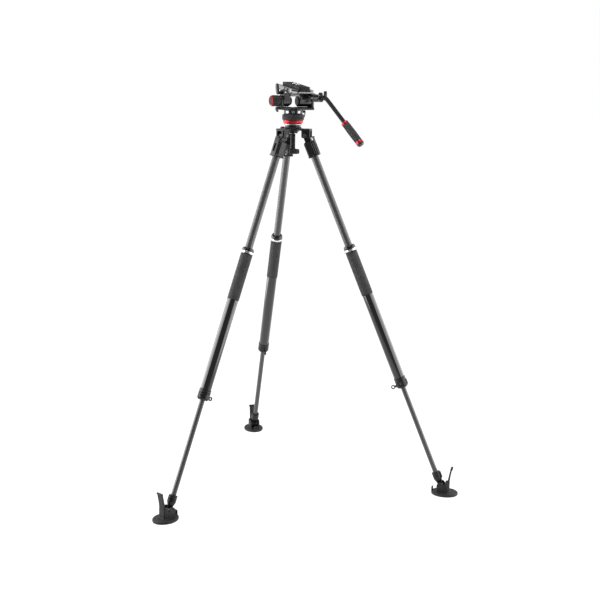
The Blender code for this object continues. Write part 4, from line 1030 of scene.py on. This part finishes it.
# ---------------------------------------------------------------- pan bar
def build_pan_bar():
    """The bar's clamp with its rosette, the bent rod, the grip, and the wing knob."""
    dip, azimuth = math.radians(46.0), math.radians(-62.0)
    direction = Vector((math.cos(dip) * math.cos(azimuth), math.cos(dip) * math.sin(azimuth), -math.sin(dip)))
    stub, bend, length, grip_length = Vector((0, -1, 0)), Vector((0.003, -0.033, 0.01)), 0.264, 0.122
    clamp = [rod("X", 0.0157, -0.008, 0.011, segments=64, bevel=0.0014),
             block((-0.0088, -0.0192, -0.0094), (0.0094, 0.0, 0.0094), 0.003, 4),
             rod("Y", 0.0108, -0.0194, -0.012, at=(0.0, 0.0, 0.0), bevel=0.001),
             rod("X", 0.0105, -0.003, 0.008, at=(0.0, -0.002, 0.013), bevel=0.0014)]
    cuts = [rod("X", 0.0033, -0.02, 0.02), rod("X", 0.0094, 0.0098, 0.02),
            block((-0.02, -0.0006, 0.011), (0.02, 0.0006, 0.03))]
    piece("clamp_casting", cast(carved(clamp, cuts), 0.0007, 1, 0.5), BLACK, BAR, "pan_bar",
          "satin_black_alloy", "bar_clamp")
    teeth = lathe(soften([(0.006, -0.0096), (0.015, -0.0096), (0.0155, -0.0078), (0.006, -0.0078)], 0.0003, 2,
                         closed=True), 240, ring=True, wave=ribs(40, 0.0007, 0.014, 2.0))
    piece("rosette_teeth", moved(teeth, Matrix.Rotation(math.radians(90), 4, "Y")), STEEL, BAR, "pan_bar",
          "steel", sharp=40)
    start = stub * 0.0195
    points = [start + stub * 0.0003]
    bend_start, bend_end = start + stub * 0.003, bend + direction * 0.028
    for i in range(29):
        t = i / 28
        points.append((1 - t) ** 2 * bend_start + 2 * t * (1 - t) * bend + t ** 2 * bend_end)
    grip_start = bend + direction * (length - grip_length)
    far = grip_start + direction * 0.012
    points += [bend_end.lerp(far, k / 8) for k in range(1, 9)]
    piece("bar_rod", sweep(points, [0.0085] * len(points), 48), BAR_BLACK, BAR, "pan_bar",
          "satin_black_alloy", "pan_bar")
    tip = BAR @ Matrix.Translation(grip_start) @ direction.to_track_quat("-Z", "Y").to_matrix().to_4x4()
    collar = [(0.0088, 0.0), (0.0112, 0.0), (0.0124, -0.0006), (0.015, -0.0036), (0.0153, -0.0044),
              (0.0153, -0.0104), (0.0148, -0.0115), (0.0088, -0.0115)]
    piece("bar_collar_turning", turned_ring(collar, 0.0005), RED, tip, "pan_bar", "red_anodised",
          "bar_collar", sharp=40)
    end = -grip_length + 0.02
    grip = [(0.0, -0.0123), (0.0136, -0.0123), (0.0148, -0.0132), (0.015, -0.015)]
    grip += [(0.015 + 0.0008 * math.sin(math.pi * k / 24), -0.015 + (end + 0.015) * k / 24)
             for k in range(1, 24)]
    grip += [(0.015, end + 0.001), (0.0142, end), (0.0, end)]
    piece("bar_grip_moulding", lathe(grip, 96), BAR_GRIP, tip, "pan_bar", "black_rubber", "bar_grip",
          sharp=50)
    ring = soften([(0.0, end - GAP), (0.0152, end - GAP), (0.0156, end - 0.0008), (0.0156, end - 0.0098),
                   (0.015, end - 0.0106), (0.0, end - 0.0106)], 0.0004, 2)
    piece("bar_end_ring", lathe(ring, 96), RED, tip, "pan_bar", "red_anodised", "bar_end_cap", sharp=40)
    cap = soften([(0.0, end - 0.0108), (0.0149, end - 0.0108), (0.0153, end - 0.0118), (0.0151, end - 0.015),
                  (0.013, end - 0.0192), (0.0095, end - 0.0208), (0.0, end - 0.0208)], 0.0012, 3)
    piece("bar_end_moulding", lathe(cap, 80), PLASTIC, tip, "pan_bar", "black_rubber", sharp=50)
    wing = [(-0.007, -0.006), (0.007, -0.006), (0.008, 0.004), (0.0076, 0.018), (0.0088, 0.025),
            (0.005, 0.0292), (-0.005, 0.0292), (-0.0088, 0.025), (-0.0076, 0.018), (-0.008, 0.004)]
    wing_knob = [rod("X", 0.0088, 0.0114, 0.0298, bevel=0.0016, segments=56),
                 prism(soften(wing, 0.003, 4, closed=True), 0.008, 0.002, 3, "X", (0.0254, 0, 0))]
    piece("wing_moulding", cast(carved(wing_knob), 0.0007, 2, 0.5), PLASTIC, BAR, "bar_wing",
          "satin_black_alloy", "bar_wing_knob")
    screw = joined(rod("X", 0.003, -0.018, 0.012), moved(screw_head(0.0042, 0.001),
                                                            facing((1, 0, 0), (0.0297, 0, 0))))
    piece("wing_screw_turning", screw, STEEL, BAR, "bar_wing", "steel", sharp=30)


# ---------------------------------------------------------------- build it all
build_legs()
build_crown()
build_ball()
build_pan_stage()
build_drums()
build_holder()
build_plate()
build_pan_bar()

# ---------------------------------------------------------------- floor, light and camera
CAMERA_AT = PAN.translation + Vector((-1.96125, -3.94592, 1.68194))
RIGHT, LIFT = Vector((0.89269, -0.45046, 0.01416)), Vector((0.07638, 0.18218, 0.98029))
FORWARD = LIFT.cross(RIGHT)
flat_right = Vector((RIGHT.x, RIGHT.y, 0)).normalized()
flat_forward = Vector((FORWARD.x, FORWARD.y, 0)).normalized()


def stage_surface():
    """A pale floor that glows; its glow and colour are painted darker well in front of the object, as painted
    shade where the room is dark.
    """
    graph = Graph("pale floor", specular=0.0)
    along = graph.tree.nodes.new("ShaderNodeVectorMath")
    along.operation = "DOT_PRODUCT"
    along.inputs[1].default_value = -flat_forward
    graph.feed(along.inputs[0], graph.coordinates.outputs["Object"])
    # Painted light and shade on the floor: its glow and its colour fall from full behind the object to a
    # quarter well in front of it.
    bright = graph.span(along.outputs["Value"], 1.0, 0.25, 1.25, 3.2)
    pale = graph.mix(graph.span(graph.noise(1.5), 0.0, 1.0), (0.16, 0.16, 0.16), (0.18, 0.18, 0.18))
    graph.shader.inputs["Emission Color"].default_value = (1.0, 1.0, 1.0, 1.0)
    graph.feed(graph.shader.inputs["Emission Strength"], graph.maths("MULTIPLY", bright, 0.96))
    return graph.close(graph.mix(bright, (0.03, 0.03, 0.03), pale), 0.9, graph.noise(400.0), 0.0001)


FAR = 40
floor_mesh = bpy.data.meshes.new("floor")
floor_mesh.from_pydata([(x, y, 0) for x, y in ((-FAR, -FAR), (FAR, -FAR), (FAR, FAR), (-FAR, FAR))], [],
                       [(0, 1, 2, 3)])
floor_mesh.materials.append(stage_surface())
floor = bpy.data.objects.new("floor", floor_mesh)
bpy.context.scene.collection.objects.link(floor)


def softbox(name, at, target, width, height, power):
    """A rectangular lamp that faces its target."""
    lamp = bpy.data.lights.new(name, "AREA")
    lamp.shape, lamp.size, lamp.size_y, lamp.energy = "RECTANGLE", width, height, power
    made = bpy.data.objects.new(name, lamp)
    made.matrix_world = facing(Vector(at) - Vector(target), at)
    bpy.context.scene.collection.objects.link(made)


middle = Vector((0, 0, 0.95))
for name, side, power in (("left", -1, 145), ("right", 1, 95)):
    softbox(name, middle + side * flat_right * 2.0 - flat_forward * 0.15, middle, 3.0, 3.2, power)
softbox("top", middle - flat_forward * 0.9 + Vector((0, 0, 2.5)), middle + Vector((0, 0, 0.7)), 1.6, 1.0, 40)

world = bpy.data.worlds.new("studio")
bpy.context.scene.world = world
world.use_nodes = True
tree = world.node_tree
sky, coordinates = tree.nodes["Background"], tree.nodes.new("ShaderNodeTexCoord")
dot = tree.nodes.new("ShaderNodeVectorMath")
dot.operation = "DOT_PRODUCT"
dot.inputs[1].default_value = -FORWARD
shade = tree.nodes.new("ShaderNodeMapRange")
shade.interpolation_type = "SMOOTHSTEP"
for socket, value in (("From Min", -0.6), ("From Max", 0.15), ("To Min", 1.0), ("To Max", 0.25)):
    shade.inputs[socket].default_value = value
tree.links.new(coordinates.outputs["Generated"], dot.inputs[0])
tree.links.new(dot.outputs["Value"], shade.inputs["Value"])
tree.links.new(shade.outputs[0], sky.inputs["Strength"])
sky.inputs["Color"].default_value = (1.0, 1.0, 1.0, 1.0)

lens = bpy.data.cameras.new("camera")
lens.lens, lens.sensor_width, lens.clip_end = 63.34, 36.0, 100.0
camera = bpy.data.objects.new("camera", lens)
camera.matrix_world = basis(CAMERA_AT, RIGHT, LIFT, -FORWARD)
bpy.context.scene.collection.objects.link(camera)
bpy.context.scene.camera = camera
bpy.context.scene.view_settings.view_transform = "Standard"
